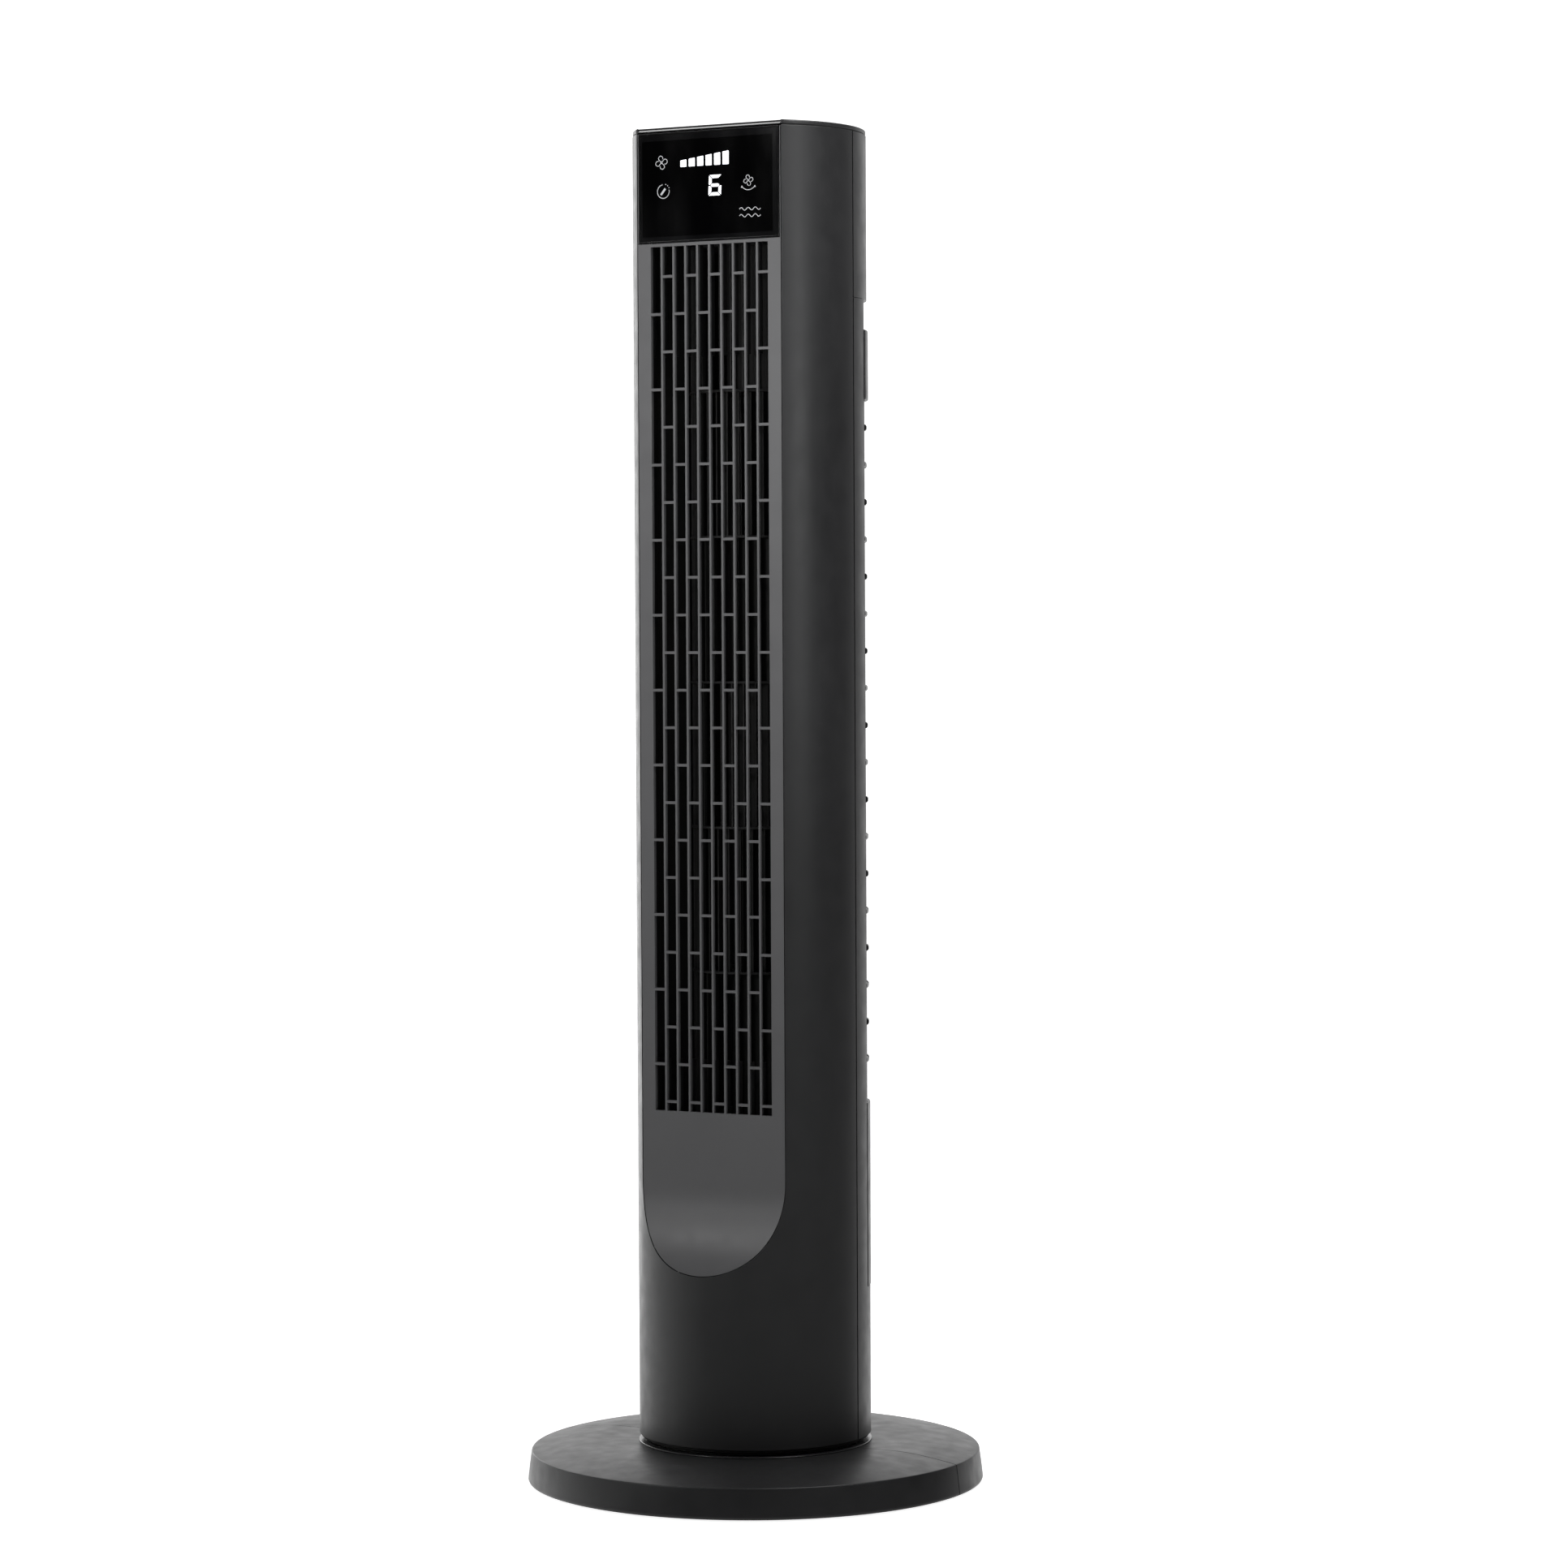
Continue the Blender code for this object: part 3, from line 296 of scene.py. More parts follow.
def fillet(points, radii, steps=4, closed=True):
    """The outline with its corners rounded by these radii."""
    count = len(points)
    result = []
    for i in range(count):
        radius = radii if isinstance(radii, (int, float)) else radii[i]
        if radius <= 0 or (not closed and i in (0, count - 1)):
            result.append(tuple(points[i]))
            continue
        here = Vector(points[i])
        before = Vector(points[i - 1]) - here
        after = Vector(points[(i + 1) % count]) - here
        turn = math.pi - before.angle(after)
        if turn < 0.03:
            result.append(tuple(here))
            continue
        reach = min(radius * math.tan(turn / 2), before.length * 0.48, after.length * 0.48)
        start = here + before.normalized() * reach
        end = here + after.normalized() * reach
        for j in range(steps + 1):
            t = j / steps
            result.append(tuple(start * (1 - t) ** 2 + here * 2 * t * (1 - t) + end * t * t))
    return result


def finish_mesh(shape):
    bmesh.ops.recalc_face_normals(shape, faces=shape.faces)
    mesh = bpy.data.meshes.new("mesh")
    shape.to_mesh(mesh)
    shape.free()
    return mesh


def put(name, data):
    """A new object in the scene."""
    made = bpy.data.objects.new(name, data)
    bpy.context.scene.collection.objects.link(made)
    return made


def piece(name, mesh, body, material, nodes=(), bevel=0.0, segments=2, angle=35, place=None):
    """A shown object: shaded smooth, its edges rounded, riding on a CAD body and standing for CAD nodes."""
    mesh.name = name
    made = put(name, mesh)
    mesh.materials.append(material)
    if place:
        made.matrix_world = place
    mesh.shade_smooth()
    mesh.set_sharp_from_angle(angle=math.radians(angle))
    if bevel:
        rounding = made.modifiers.new("rounding", "BEVEL")
        rounding.width = bevel
        rounding.segments = segments
        rounding.limit_method = "ANGLE"
        rounding.angle_limit = math.radians(angle)
        rounding.harden_normals = True
        rounding.use_clamp_overlap = True
    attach(made, body)
    if nodes:
        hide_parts(*nodes)
    return made


def lathe(profile, steps=160, start=0.0, end=360.0, centre=(0.0, 0.0)):
    """A turned solid from a closed profile of (radius, height), all round or between two angles."""
    shape = bmesh.new()
    whole = end - start >= 360
    count = steps if whole else steps + 1
    rings = []
    for i in range(count):
        angle = math.radians(start + (end - start) * i / steps)
        ring = []
        for j, (r, z) in enumerate(profile):
            if r <= 1e-9 and rings:
                ring.append(rings[0][j])
            else:
                ring.append(shape.verts.new((centre[0] + r * math.cos(angle), centre[1] + r * math.sin(angle), z)))
        rings.append(ring)
    size = len(profile)
    for i in range(steps):
        a, b = rings[i], rings[(i + 1) % count]
        for j in range(size):
            k = (j + 1) % size
            corners = []
            for vertex in (a[j], b[j], b[k], a[k]):
                if vertex not in corners:
                    corners.append(vertex)
            if len(corners) > 2:
                shape.faces.new(corners)
    if not whole:
        shape.faces.new(rings[0])
        shape.faces.new(rings[-1][::-1])
    return finish_mesh(shape)


def extrude(shape, outline, low, high):
    """Adds a flat outline with a thickness along Z to the shape."""
    bottom = [shape.verts.new((x, y, low)) for x, y in outline]
    top = [shape.verts.new((x, y, high)) for x, y in outline]
    shape.faces.new(bottom[::-1])
    shape.faces.new(top)
    for i in range(len(outline)):
        j = (i + 1) % len(outline)
        shape.faces.new([bottom[i], bottom[j], top[j], top[i]])


def prisms(outlines, low, high, place=None):
    """Flat outlines with one thickness along their own Z, in one mesh."""
    shape = bmesh.new()
    for outline in outlines:
        extrude(shape, outline, low, high)
    if place:
        shape.transform(place)
    return finish_mesh(shape)


def prism(outline, low, high, place=None):
    return prisms([outline], low, high, place)


def closed_frame(*loops):
    """A frame through (outline in X and Z, depth) loops of one length, the last joined to the first."""
    shape = bmesh.new()
    rings = [[shape.verts.new((x, y, z)) for x, z in outline] for outline, y in loops]
    for a, b in zip(rings, rings[1:] + rings[:1]):
        for i in range(len(a)):
            j = (i + 1) % len(a)
            shape.faces.new([a[i], a[j], b[j], b[i]])
    return finish_mesh(shape)


def curved_bars(section, bars, steps):
    """Bars that follow the column's round: (start, end, height) each, with one (radius, height) section."""
    shape = bmesh.new()
    for start, end, z in bars:
        rows = []
        for r, dz in section:
            turns = [start + (end - start) * k / steps for k in range(steps + 1)]
            rows.append([shape.verts.new((*polar(r, turn), z + dz)) for turn in turns])
        for p, q in zip(rows, rows[1:] + rows[:1]):
            for k in range(steps):
                shape.faces.new([p[k], p[k + 1], q[k + 1], q[k]])
        shape.faces.new([row[0] for row in rows])
        shape.faces.new([row[-1] for row in rows][::-1])
    return finish_mesh(shape)


def perforated(us, vs, is_open, front, back, rim=0):
    """A closed sheet between two surfaces over a grid with some cells open. rim is the border's material."""
    shape = bmesh.new()
    outer = [[shape.verts.new(front(i, j)) for j in range(len(vs))] for i in range(len(us))]
    inner = [[shape.verts.new(back(i, j)) for j in range(len(vs))] for i in range(len(us))]
    solid = {(i, j) for i in range(len(us) - 1) for j in range(len(vs) - 1) if not is_open(i, j)}
    for i, j in solid:
        shape.faces.new([outer[i][j], outer[i + 1][j], outer[i + 1][j + 1], outer[i][j + 1]])
        shape.faces.new([inner[i][j + 1], inner[i + 1][j + 1], inner[i + 1][j], inner[i][j]])
        sides = {
            (i - 1, j): ((i, j + 1), (i, j)),
            (i + 1, j): ((i + 1, j), (i + 1, j + 1)),
            (i, j - 1): ((i, j), (i + 1, j)),
            (i, j + 1): ((i + 1, j + 1), (i, j + 1)),
        }
        for neighbour, ((a, b), (c, d)) in sides.items():
            if neighbour not in solid:
                side = shape.faces.new([outer[c][d], outer[a][b], inner[a][b], inner[c][d]])
                inside = 0 <= neighbour[0] < len(us) - 1 and 0 <= neighbour[1] < len(vs) - 1
                side.material_index = 0 if inside else rim
    loose = [v for v in shape.verts if not v.link_faces]
    bmesh.ops.delete(shape, geom=loose, context="VERTS")
    return finish_mesh(shape)


def apply_shown(target):
    """Makes the target's shown modifiers part of its mesh. They stay in its list."""
    graph = bpy.context.evaluated_depsgraph_get()
    target.data = bpy.data.meshes.new_from_object(target.evaluated_get(graph))


def subtract(target, tools):
    """Cuts the tools out of the target's own mesh, under its other modifiers, then removes them."""
    others = [modifier.name for modifier in target.modifiers]
    for name in others:
        target.modifiers[name].show_viewport = False
    for tool in tools:
        cut = target.modifiers.new("cut", "BOOLEAN")
        cut.operation = "DIFFERENCE"
        cut.solver = "EXACT"
        cut.object = tool
    apply_shown(target)
    for modifier in list(target.modifiers):
        if modifier.name in others:
            modifier.show_viewport = True
        else:
            target.modifiers.remove(modifier)
    for tool in tools:
        bpy.data.objects.remove(tool)


def subtract_after(target, tools):
    """Cuts the tools out after the target's rounding, so that the rounding is only on the outer edge."""
    apply_shown(target)
    target.modifiers.clear()
    subtract(target, tools)


def spans(values, low, high):
    return sorted({round(v, 6) for v in values if low <= v <= high})


def row_heights(first, low, high, margin=0.004):
    """A column's bridge heights, from the first one down."""
    heights = []
    z = first
    while z > low + margin:
        if z < high - margin:
            heights.append(z)
        z -= BRIDGE_PITCH
    return heights


# ---------------------------------------------------------------- column shells

def sweep_angle(y):
    """The sweep's angle where its surface is at this depth."""
    return math.acos(max(-1.0, 1 - max(0.0, FLAT_Y - y) / SWEEP_RADIUS))


def cut_height(radius, degrees):
    """Where the swept front leaves a round surface of that radius, at that angle from the front."""
    y = -radius * math.cos(math.radians(degrees))
    return SWEEP_TOP_Z - SWEEP_RADIUS * math.sin(sweep_angle(y))


def make_front_shell():
    """The round front, open over the flat, its cut edge where it meets its neighbours darkened with the near-black
    inner colour as painted shade.
    """
    corner = math.degrees(math.acos(-FLAT_Y / R))
    front = [corner * math.sin(math.pi / 2 * i / 44) for i in range(45)]
    side = [corner + (SEAM_END - corner) * i / 36 for i in range(1, 37)]
    angles = [-a for a in reversed(front[1:] + side)] + front + side
    low_rows, high_rows = 8, 14
    shape = bmesh.new()
    columns = []
    for degrees in angles:
        a = math.radians(degrees)
        inside = abs(degrees) < corner - 1e-6
        top = cut_height(R, abs(degrees)) if inside else SWEEP_TOP_Z
        heights = [SHELL_LOW_Z + (top - SHELL_LOW_Z) * j / low_rows for j in range(low_rows + 1)]
        if not inside:
            heights += [SWEEP_TOP_Z + (SHELL_TOP_Z - SWEEP_TOP_Z) * j / high_rows for j in range(1, high_rows + 1)]
        columns.append([shape.verts.new((R * math.sin(a), -R * math.cos(a), z)) for z in heights])
    for left, right in zip(columns, columns[1:]):
        for j in range(min(len(left), len(right)) - 1):
            shape.faces.new([left[j], right[j], right[j + 1], left[j + 1]])
    skin = finish_mesh(shape)
    shell = piece("front_shell_skin", skin, "column", SHELL, ["front_shell"])
    first = skin.polygons[0]
    if first.normal.dot(Vector((first.center.x, first.center.y, 0))) < 0:
        skin.flip_normals()
    thick = shell.modifiers.new("wall", "SOLIDIFY")
    thick.thickness = LIP
    thick.offset = -1
    # The wall's cut edge wears the near-black inner material: painted shade for a dark seam line.
    thick.material_offset_rim = 1
    skin.materials.append(INNER_BLACK_AND_SHADE)
    rounding = shell.modifiers.new("rounding", "BEVEL")
    rounding.width = 0.00035
    rounding.segments = 2
    rounding.limit_method = "ANGLE"
    rounding.angle_limit = math.radians(50)
    rounding.harden_normals = True


def ring_sheet(name, material, nodes, radius, thick, low, high, start, end, opening=None, bevel=0.0005,
               steps=72, rows=(), extra=()):
    """A curved sheet of the column between two angles from +X and two heights, with one kind of opening."""
    angles = spans([start + (end - start) * i / steps for i in range(steps + 1)] + list(extra), start, end)
    heights = spans([low, high, *rows], low, high)

    def surface(r):
        return lambda i, j: (*polar(r, angles[i]), heights[j])

    def is_open(i, j):
        if not opening:
            return False
        return opening((angles[i] + angles[i + 1]) / 2, (heights[j] + heights[j + 1]) / 2)

    mesh = perforated(angles, heights, is_open, surface(radius), surface(radius - thick))
    return piece(name, mesh, "column", material, nodes, bevel)


def screw_matrix(x, z):
    """The frame of a shell screw: its own Z points out of the back."""
    y = math.sqrt((R - 0.0012) ** 2 - x * x)
    return Matrix.Translation((x, y, z)) @ Matrix.Rotation(math.radians(-90), 4, "X")


def make_rear_shell():
    """The rear strips on their lower band, and the cover above them."""
    start, end = 90 - SEAM_END, 90 + SEAM_END
    window = (REAR_START, 180 - REAR_START)
    wall, half_seam = 0.0025, 0.00015
    shell = ring_sheet(
        "rear_shell_skin", SHELL, ["rear_shell"], R, wall, SHELL_LOW_Z, REAR_TOP_Z - half_seam, start, end,
        lambda a, z: window[0] < a < window[1] and REAR_LOW_Z < z,
        0.0004, 90, [REAR_LOW_Z] + [0.1 * i for i in range(1, 10)], window,
    )
    cover = ring_sheet(
        "upper_rear_skin", SHELL, ["upper_rear_cover"], R, wall, REAR_TOP_Z + half_seam, SHELL_TOP_Z,
        start, end, None, 0.0004, 90, [0.96, 0.99, 1.02],
    )
    # Near-black strips behind the side seams: painted shade that keeps the seams dark.
    for side, middle in (("right", 0.0), ("left", 180.0)):
        ring_sheet(
            f"{side}_seam_shade_backing", INNER_BLACK_AND_SHADE, (), R - 0.0028, 0.0010, SHELL_LOW_Z + 0.010, SHELL_TOP_Z - 0.002,
            middle - 2.2, middle + 2.2, None, 0.0003, 6,
        )
    tools = {shell: [], cover: []}
    sink, bore, step = 0.0039, 0.0020, -0.0012
    outline = [(0.0, 0.02), (sink, 0.02), (sink, step), (bore, step), (bore, -0.012), (0.0, -0.012)]
    for i, (x, z) in enumerate(SHELL_SCREWS):
        mesh = lathe(outline, 32)
        mesh.transform(screw_matrix(x, z))
        tools[cover if z > REAR_TOP_Z else shell].append(put("cutter", mesh))
    subtract(shell, tools[shell])
    subtract(cover, tools[cover])


def make_screw(name, node, body, place, head=0.0034, dome=0.0006):
    """A pan head with a cross recess."""
    seat, shank, tip = -0.0012, 0.0015, -0.0100
    points = [(0, 0), (head * 0.6, -dome * 0.25), (head, -dome), (head, seat), (shank, seat), (shank, tip), (0, tip)]
    profile = fillet(points, [0, 0.002, 0.0004, 0.0002, 0, 0.0002, 0], 3)
    screw = piece(name, lathe(profile, 48), body, STEEL, [node], place=place)
    arm = [(-0.0021, -0.0004), (0.0021, -0.0004), (0.0021, 0.0004), (-0.0021, 0.0004)]
    arms = []
    for turn in (0, 90):
        mesh = prism(arm, -0.0009, 0.001)
        mesh.transform(place @ Matrix.Rotation(math.radians(turn + 20), 4, "Z"))
        arms.append(put("cutter", mesh))
    subtract(screw, arms)


# ---------------------------------------------------------------- front panel

def slot_edges():
    """The left and right edges of each slot column."""
    pitch = (2 * GRILLE_HALF_WIDTH + BAR_WIDTH) / GRILLE_COLUMNS
    lefts = [-GRILLE_HALF_WIDTH + i * pitch for i in range(GRILLE_COLUMNS)]
    return [(x, x + pitch - BAR_WIDTH) for x in lefts]


def bridge_rows():
    return [row_heights(first, GRILLE_LOW_Z, GRILLE_TOP_Z) for first in (ODD_BRIDGE_Z, EVEN_BRIDGE_Z)]


def make_front_panel():
    """The flat grilled panel whose foot sweeps forward, its deeper end vanes and the wall behind its left edge. Its
    outer edge walls and that wall wear the near-black inner colour, and the vanes a darkened panel grey: painted
    shade.
    """
    radius = R - 0.00045
    half = math.sqrt(radius ** 2 - FLAT_Y ** 2)
    edges = slot_edges()
    xs = [-half, -half + 0.004]
    for low, high in edges:
        xs += [low, high]
    xs += [half - 0.004, half]
    rows = bridge_rows()
    zs = {PANEL_TOP_Z, GRILLE_TOP_Z, GRILLE_LOW_Z, SWEEP_TOP_Z}
    zs |= {z + s * BRIDGE_HEIGHT / 2 for row in rows for z in row for s in (-1, 1)}
    zs |= {SWEEP_TOP_Z + (GRILLE_LOW_Z - SWEEP_TOP_Z) * i / 3 for i in range(1, 3)}
    flat = sorted(zs, reverse=True)
    corner = math.degrees(math.acos(-FLAT_Y / radius))
    levels = [(half, FLAT_Y, z) for z in flat]
    thick = 0.0030
    for i in range(1, 41):
        degrees = corner * math.cos(math.pi / 2 * i / 40.3)
        x = radius * math.sin(math.radians(degrees))
        y = -radius * math.cos(math.radians(degrees))
        levels.append((x, y, SWEEP_TOP_Z - SWEEP_RADIUS * math.sin(sweep_angle(y))))
    column_of = {xs.index(low): c for c, (low, _) in enumerate(edges)}

    def is_open(i, j):
        if i not in column_of or j >= len(flat) - 1:
            return False
        z = (flat[j] + flat[j + 1]) / 2
        if not GRILLE_LOW_Z < z < GRILLE_TOP_Z:
            return False
        return all(abs(z - b) > BRIDGE_HEIGHT / 2 for b in rows[column_of[i] % 2])

    def front(i, j):
        width, y, z = levels[j]
        return (xs[i] * width / half, y, z)

    def back(i, j):
        width, y, z = levels[j]
        return (xs[i] * (width - 0.0004 * width / half) / half, y + thick, z)

    # The border walls, material 1, wear the near-black inner material: painted shade for a dark line between panel
    # and shell.
    mesh = perforated(xs, levels, is_open, front, back, 1)
    panel = piece("front_panel", mesh, "column", PANEL, ["front_grille"], 0.00018, 2, 30)
    panel.data.materials.append(INNER_BLACK_AND_SHADE)
    # A near-black wall behind the grille's left edge: painted shade inside the column.
    wall = [(-0.0545, FLAT_Y + 0.006), (-0.0535, FLAT_Y + 0.006), (-0.0455, -0.0220), (-0.0465, -0.0215)]
    outlet = prism(wall, WHEEL_LOW_Z, WHEEL_TOP_Z)
    piece("outlet_wall", outlet, "column", INNER_BLACK_AND_SHADE, (), 0.0003)

    lap = 0.00005
    bars = [(-GRILLE_HALF_WIDTH - 0.002, -GRILLE_HALF_WIDTH + lap)]
    bars += [(a[1] - lap, b[0] + lap) for a, b in zip(edges, edges[1:])]
    bars += [(GRILLE_HALF_WIDTH - lap, GRILLE_HALF_WIDTH + 0.002)]
    near, far = FLAT_Y + thick - 0.0006, FLAT_Y + 0.0080
    vanes = [
        fillet([(left, near), (right, near), (right, far), (left, far)], [0, 0, 0.0006, 0.0006], 3)
        for left, right in bars
    ]
    # The vanes wear the panel grey darkened as painted shade.
    for name, low, high in (
        ("upper_vanes", UPPER_VANE_LOW_Z, PANEL_TOP_Z - 0.0008),
        ("lower_vanes", GRILLE_LOW_Z - 0.002, LOWER_VANE_TOP_Z),
    ):
        piece(name, prisms(vanes, low, high), "column", PANEL_GREY_IN_SHADE)


# ---------------------------------------------------------------- display

def rounded_box(width, low, high, radii, steps=6):
    """A rectangle's outline in X and Z, corners in the order bottom left, bottom right, top right, top left."""
    points = [(-width, low), (width, low), (width, high), (-width, high)]
    return fillet(points, radii, steps)


FACE = Matrix.Rotation(math.radians(90), 4, "X")


def on_front(y):
    """Places an outline in X and Y so that it stands in X and Z at depth y, its own Z towards the front."""
    return Matrix.Translation((0, y, 0)) @ FACE


def ring_outline(centre, outer, inner, start, end, steps=24):
    return arc(outer, start, end, steps, centre) + arc(inner, end, start, steps, centre)


def bar_outline(start, end, width):
    a, b = Vector(start), Vector(end)
    along = (b - a).normalized()
    across = Vector((-along.y, along.x)) * width / 2
    return [tuple(a + across), tuple(a - across), tuple(b - across), tuple(b + across)]


def disc_outline(centre, radius, steps=16):
    return arc(radius, 0, 360 - 360 / steps, steps - 1, centre)


def fan_icon(centre, radius, width):
    """Four open loops that swirl round a small ring."""
    outlines = [ring_outline(centre, radius * 0.17, radius * 0.07, 0, 350, 14)]
    size = radius * 0.40
    for i in range(4):
        turn = 90 * i + 12
        middle = polar(radius * 0.60, turn, centre)
        outlines.append(ring_outline(middle, size, size - width, turn - 118, turn + 152, 20))
        start = polar(size - width / 2, turn + 150, middle)
        outlines.append(bar_outline(start, polar(radius * 0.17, turn + 40, centre), width))
    return outlines


def make_display():
    """The framed glass, its printed border and marks, and the strips of panel beside it."""
    low, high = PANEL_TOP_Z + SEAM, SHELL_TOP_Z - 0.0004
    outer = rounded_box(0.0621, low, high, [0.0022, 0.0022, 0.0004, 0.0004])
    inner = rounded_box(0.0608, low + 0.0013, high - 0.0009, [0.0014, 0.0014, 0.0004, 0.0004])
    back, proud = FLAT_Y + 0.0026, FLAT_Y - 0.0003
    frame_mesh = closed_frame((outer, back), (outer, proud), (inner, proud), (inner, back))
    piece("display_frame", frame_mesh, "column", BEZEL, ["display_bezel"], 0.0003, 3)
    margin = [(0.0627, FLAT_Y), (0.0633, FLAT_Y), (0.0628, FLAT_Y + 0.003), (0.0622, FLAT_Y + 0.003)]
    for side, name in ((-1, "left"), (1, "right")):
        strip = prism(margin, PANEL_TOP_Z - 0.0002, high)
        strip.transform(Matrix.Scale(side, 4, (1, 0, 0)))
        if side < 0:
            strip.flip_normals()
        piece(f"{name}_display_margin", strip, "column", PANEL, (), 0.00012, 2)
    glass = rounded_box(0.0606, low + 0.0015, high - 0.0011, [0.0013, 0.0013, 0.0003, 0.0003])
    pane = prism(glass, -0.0002, 0.0020, on_front(FLAT_Y + 0.0020))
    piece("display_glass", pane, "column", LENS, ["display_lens"], 0.0002, 2)
    corners = [(-0.0590, low + 0.0047), (0.0567, low + 0.0047), (0.0567, high - 0.0062), (-0.0590, high - 0.0062)]
    window = fillet(corners, 0.0008, 6)
    face = FLAT_Y - 0.0002
    for name, outlines, material in (
        ("display_levels", level_bars() + figure_six((0.0, 1.0112), 0.0112, 0.0160), LIT),
        ("display_icons", display_marks(), PRINT_WITH_PAINTED_GLOW),
        ("display_waves", wave_rows(), PRINT_WITH_PAINTED_GLOW),
    ):
        piece(name, prisms(outlines, 0.0, 0.00006, on_front(face)), "column", material)
    border = rounded_box(0.0604, low + 0.0017, high - 0.0013, [0.0011, 0.0011, 0.0003, 0.0003])
    near, far = face - 0.00003, face + 0.00001
    print_mesh = closed_frame((border, far), (window, far), (window, near), (border, near))
    piece("display_border", print_mesh, "column", BORDER)


def level_bars():
    """Six lit bars, each a little taller than the last, with slanted tops."""
    outlines = []
    for i in range(6):
        left = -0.0248 + LEVEL_PITCH * i
        right = left + LEVEL_WIDTH
        top = LEVEL_Z + 0.0050 + 0.00098 * i
        outlines.append(fillet([(left, LEVEL_Z), (right, LEVEL_Z), (right, top + 0.0007), (left, top)], 0.0004, 2))
    return outlines


def display_marks():
    """The fan, the timer's dial with its thick hand and three dots, and the fan over a double-ended arc."""
    x, z = TIMER_MARK
    outlines = fan_icon(FAN_MARK, 0.0055, 0.00056)
    outlines += [ring_outline(TIMER_MARK, 0.0056, 0.00500, 98, 372, 40)]
    outlines += [bar_outline((x - 0.0022, z - 0.0026), (x + 0.0018, z + 0.0022), 0.0017)]
    outlines += [disc_outline(polar(0.0058, a, TIMER_MARK), 0.00042, 10) for a in (28, 48, 68)]
    outlines += fan_icon(SWING_MARK, 0.0044, 0.00050)
    outlines += [ring_outline(SWING_MARK, 0.0076, 0.0070, 226, 314, 18)]
    for side in (-1, 1):
        x, z = SWING_MARK[0] + side * 0.0054, SWING_MARK[1] - 0.0053
        outlines.append([(x - 0.0011, z - 0.0002), (x + 0.0011, z - 0.0002), (x + side * 0.0004, z + 0.0015)])
    return outlines


def wave_rows():
    """Two rows of plain waves, where the photograph has words."""
    outlines = []
    for z in (0.9995, 0.9943):
        for left in (0.0275, 0.0337, 0.0399):
            turns = [2 * math.pi * t / 8 for t in range(9)]
            points = [(left + WAVE_PITCH * a / math.tau, z + 0.0011 * math.sin(a)) for a in turns]
            outlines += [bar_outline(a, b, 0.0006) for a, b in zip(points, points[1:])]
    return outlines


def figure_six(corner, width, height):
    """The lit segments of a six, slightly slanted. t is a segment's thickness and g half the gap between two."""
    t, g = 0.0025, 0.00048
    half = height / 2
    segments = [
        [(g, height), (width - g, height), (width - t - g, height - t), (t + g, height - t)],
        [(width, g), (width, half - g), (width - t / 2, half - g), (width - t, half - t / 2 - g), (width - t, t + g)],
        [(g, 0), (width - g, 0), (width - t - g, t), (t + g, t)],
        [(0, g), (0, half - g), (t / 2, half - g), (t, half - t / 2 - g), (t, t + g)],
        [(0, height - g), (0, half + g), (t / 2, half + g), (t, half + t / 2 + g), (t, height - t - g)],
        [
            (t / 2 + g, half), (t + g, half + t / 2), (width - t - g, half + t / 2),
            (width - t / 2 - g, half), (width - t - g, half - t / 2), (t + g, half - t / 2),
        ],
    ]
    slant = 0.05
    return [[(corner[0] + x + slant * z, corner[1] + z) for x, z in points] for points in segments]


# ---------------------------------------------------------------- top

def d_shape(radius, flat_y, steps=96):
    """A disc with its front cut off at flat_y."""
    start = math.degrees(math.asin(flat_y / radius))
    return arc(radius, start, 180 - start, steps)


def deck_outline(radius, front_y, rear_y, steps=28):
    """The part of a disc between two depths."""
    start = math.degrees(math.asin(front_y / radius))
    end = math.degrees(math.asin(rear_y / radius))
    return arc(radius, start, end, steps) + arc(radius, 180 - end, 180 - start, steps)


def button_marks(kind, x):
    """The small printed symbol of a button."""
    y = BUTTON_Y
    centre, above = (x, y), (x, y + 0.0012)
    if kind == "power_button":
        stroke = bar_outline((x, y + 0.0008), (x, y + 0.0032), 0.0005)
        return [ring_outline(centre, 0.0026, 0.0021, 125, 415, 24), stroke]
    if kind == "speed_button":
        return fan_icon(centre, 0.0030, 0.0004)
    if kind == "mode_button":
        return [bar_outline((x - 0.0022, y + d), (x + 0.0022, y + d), 0.0005) for d in (-0.0015, 0, 0.0015)]
    if kind == "timer_button":
        hands = [bar_outline(centre, tip, 0.0004) for tip in ((x, y + 0.0019), (x + 0.0014, y))]
        return [ring_outline(centre, 0.0027, 0.0022, 0, 359, 28)] + hands
    tips = [
        [polar(0.0038, a, above), polar(0.0021, a, above), polar(0.0030, a + turn, above)]
        for a, turn in ((215, -24), (325, 24))
    ]
    return [ring_outline(above, 0.0032, 0.0027, 215, 325, 16)] + tips


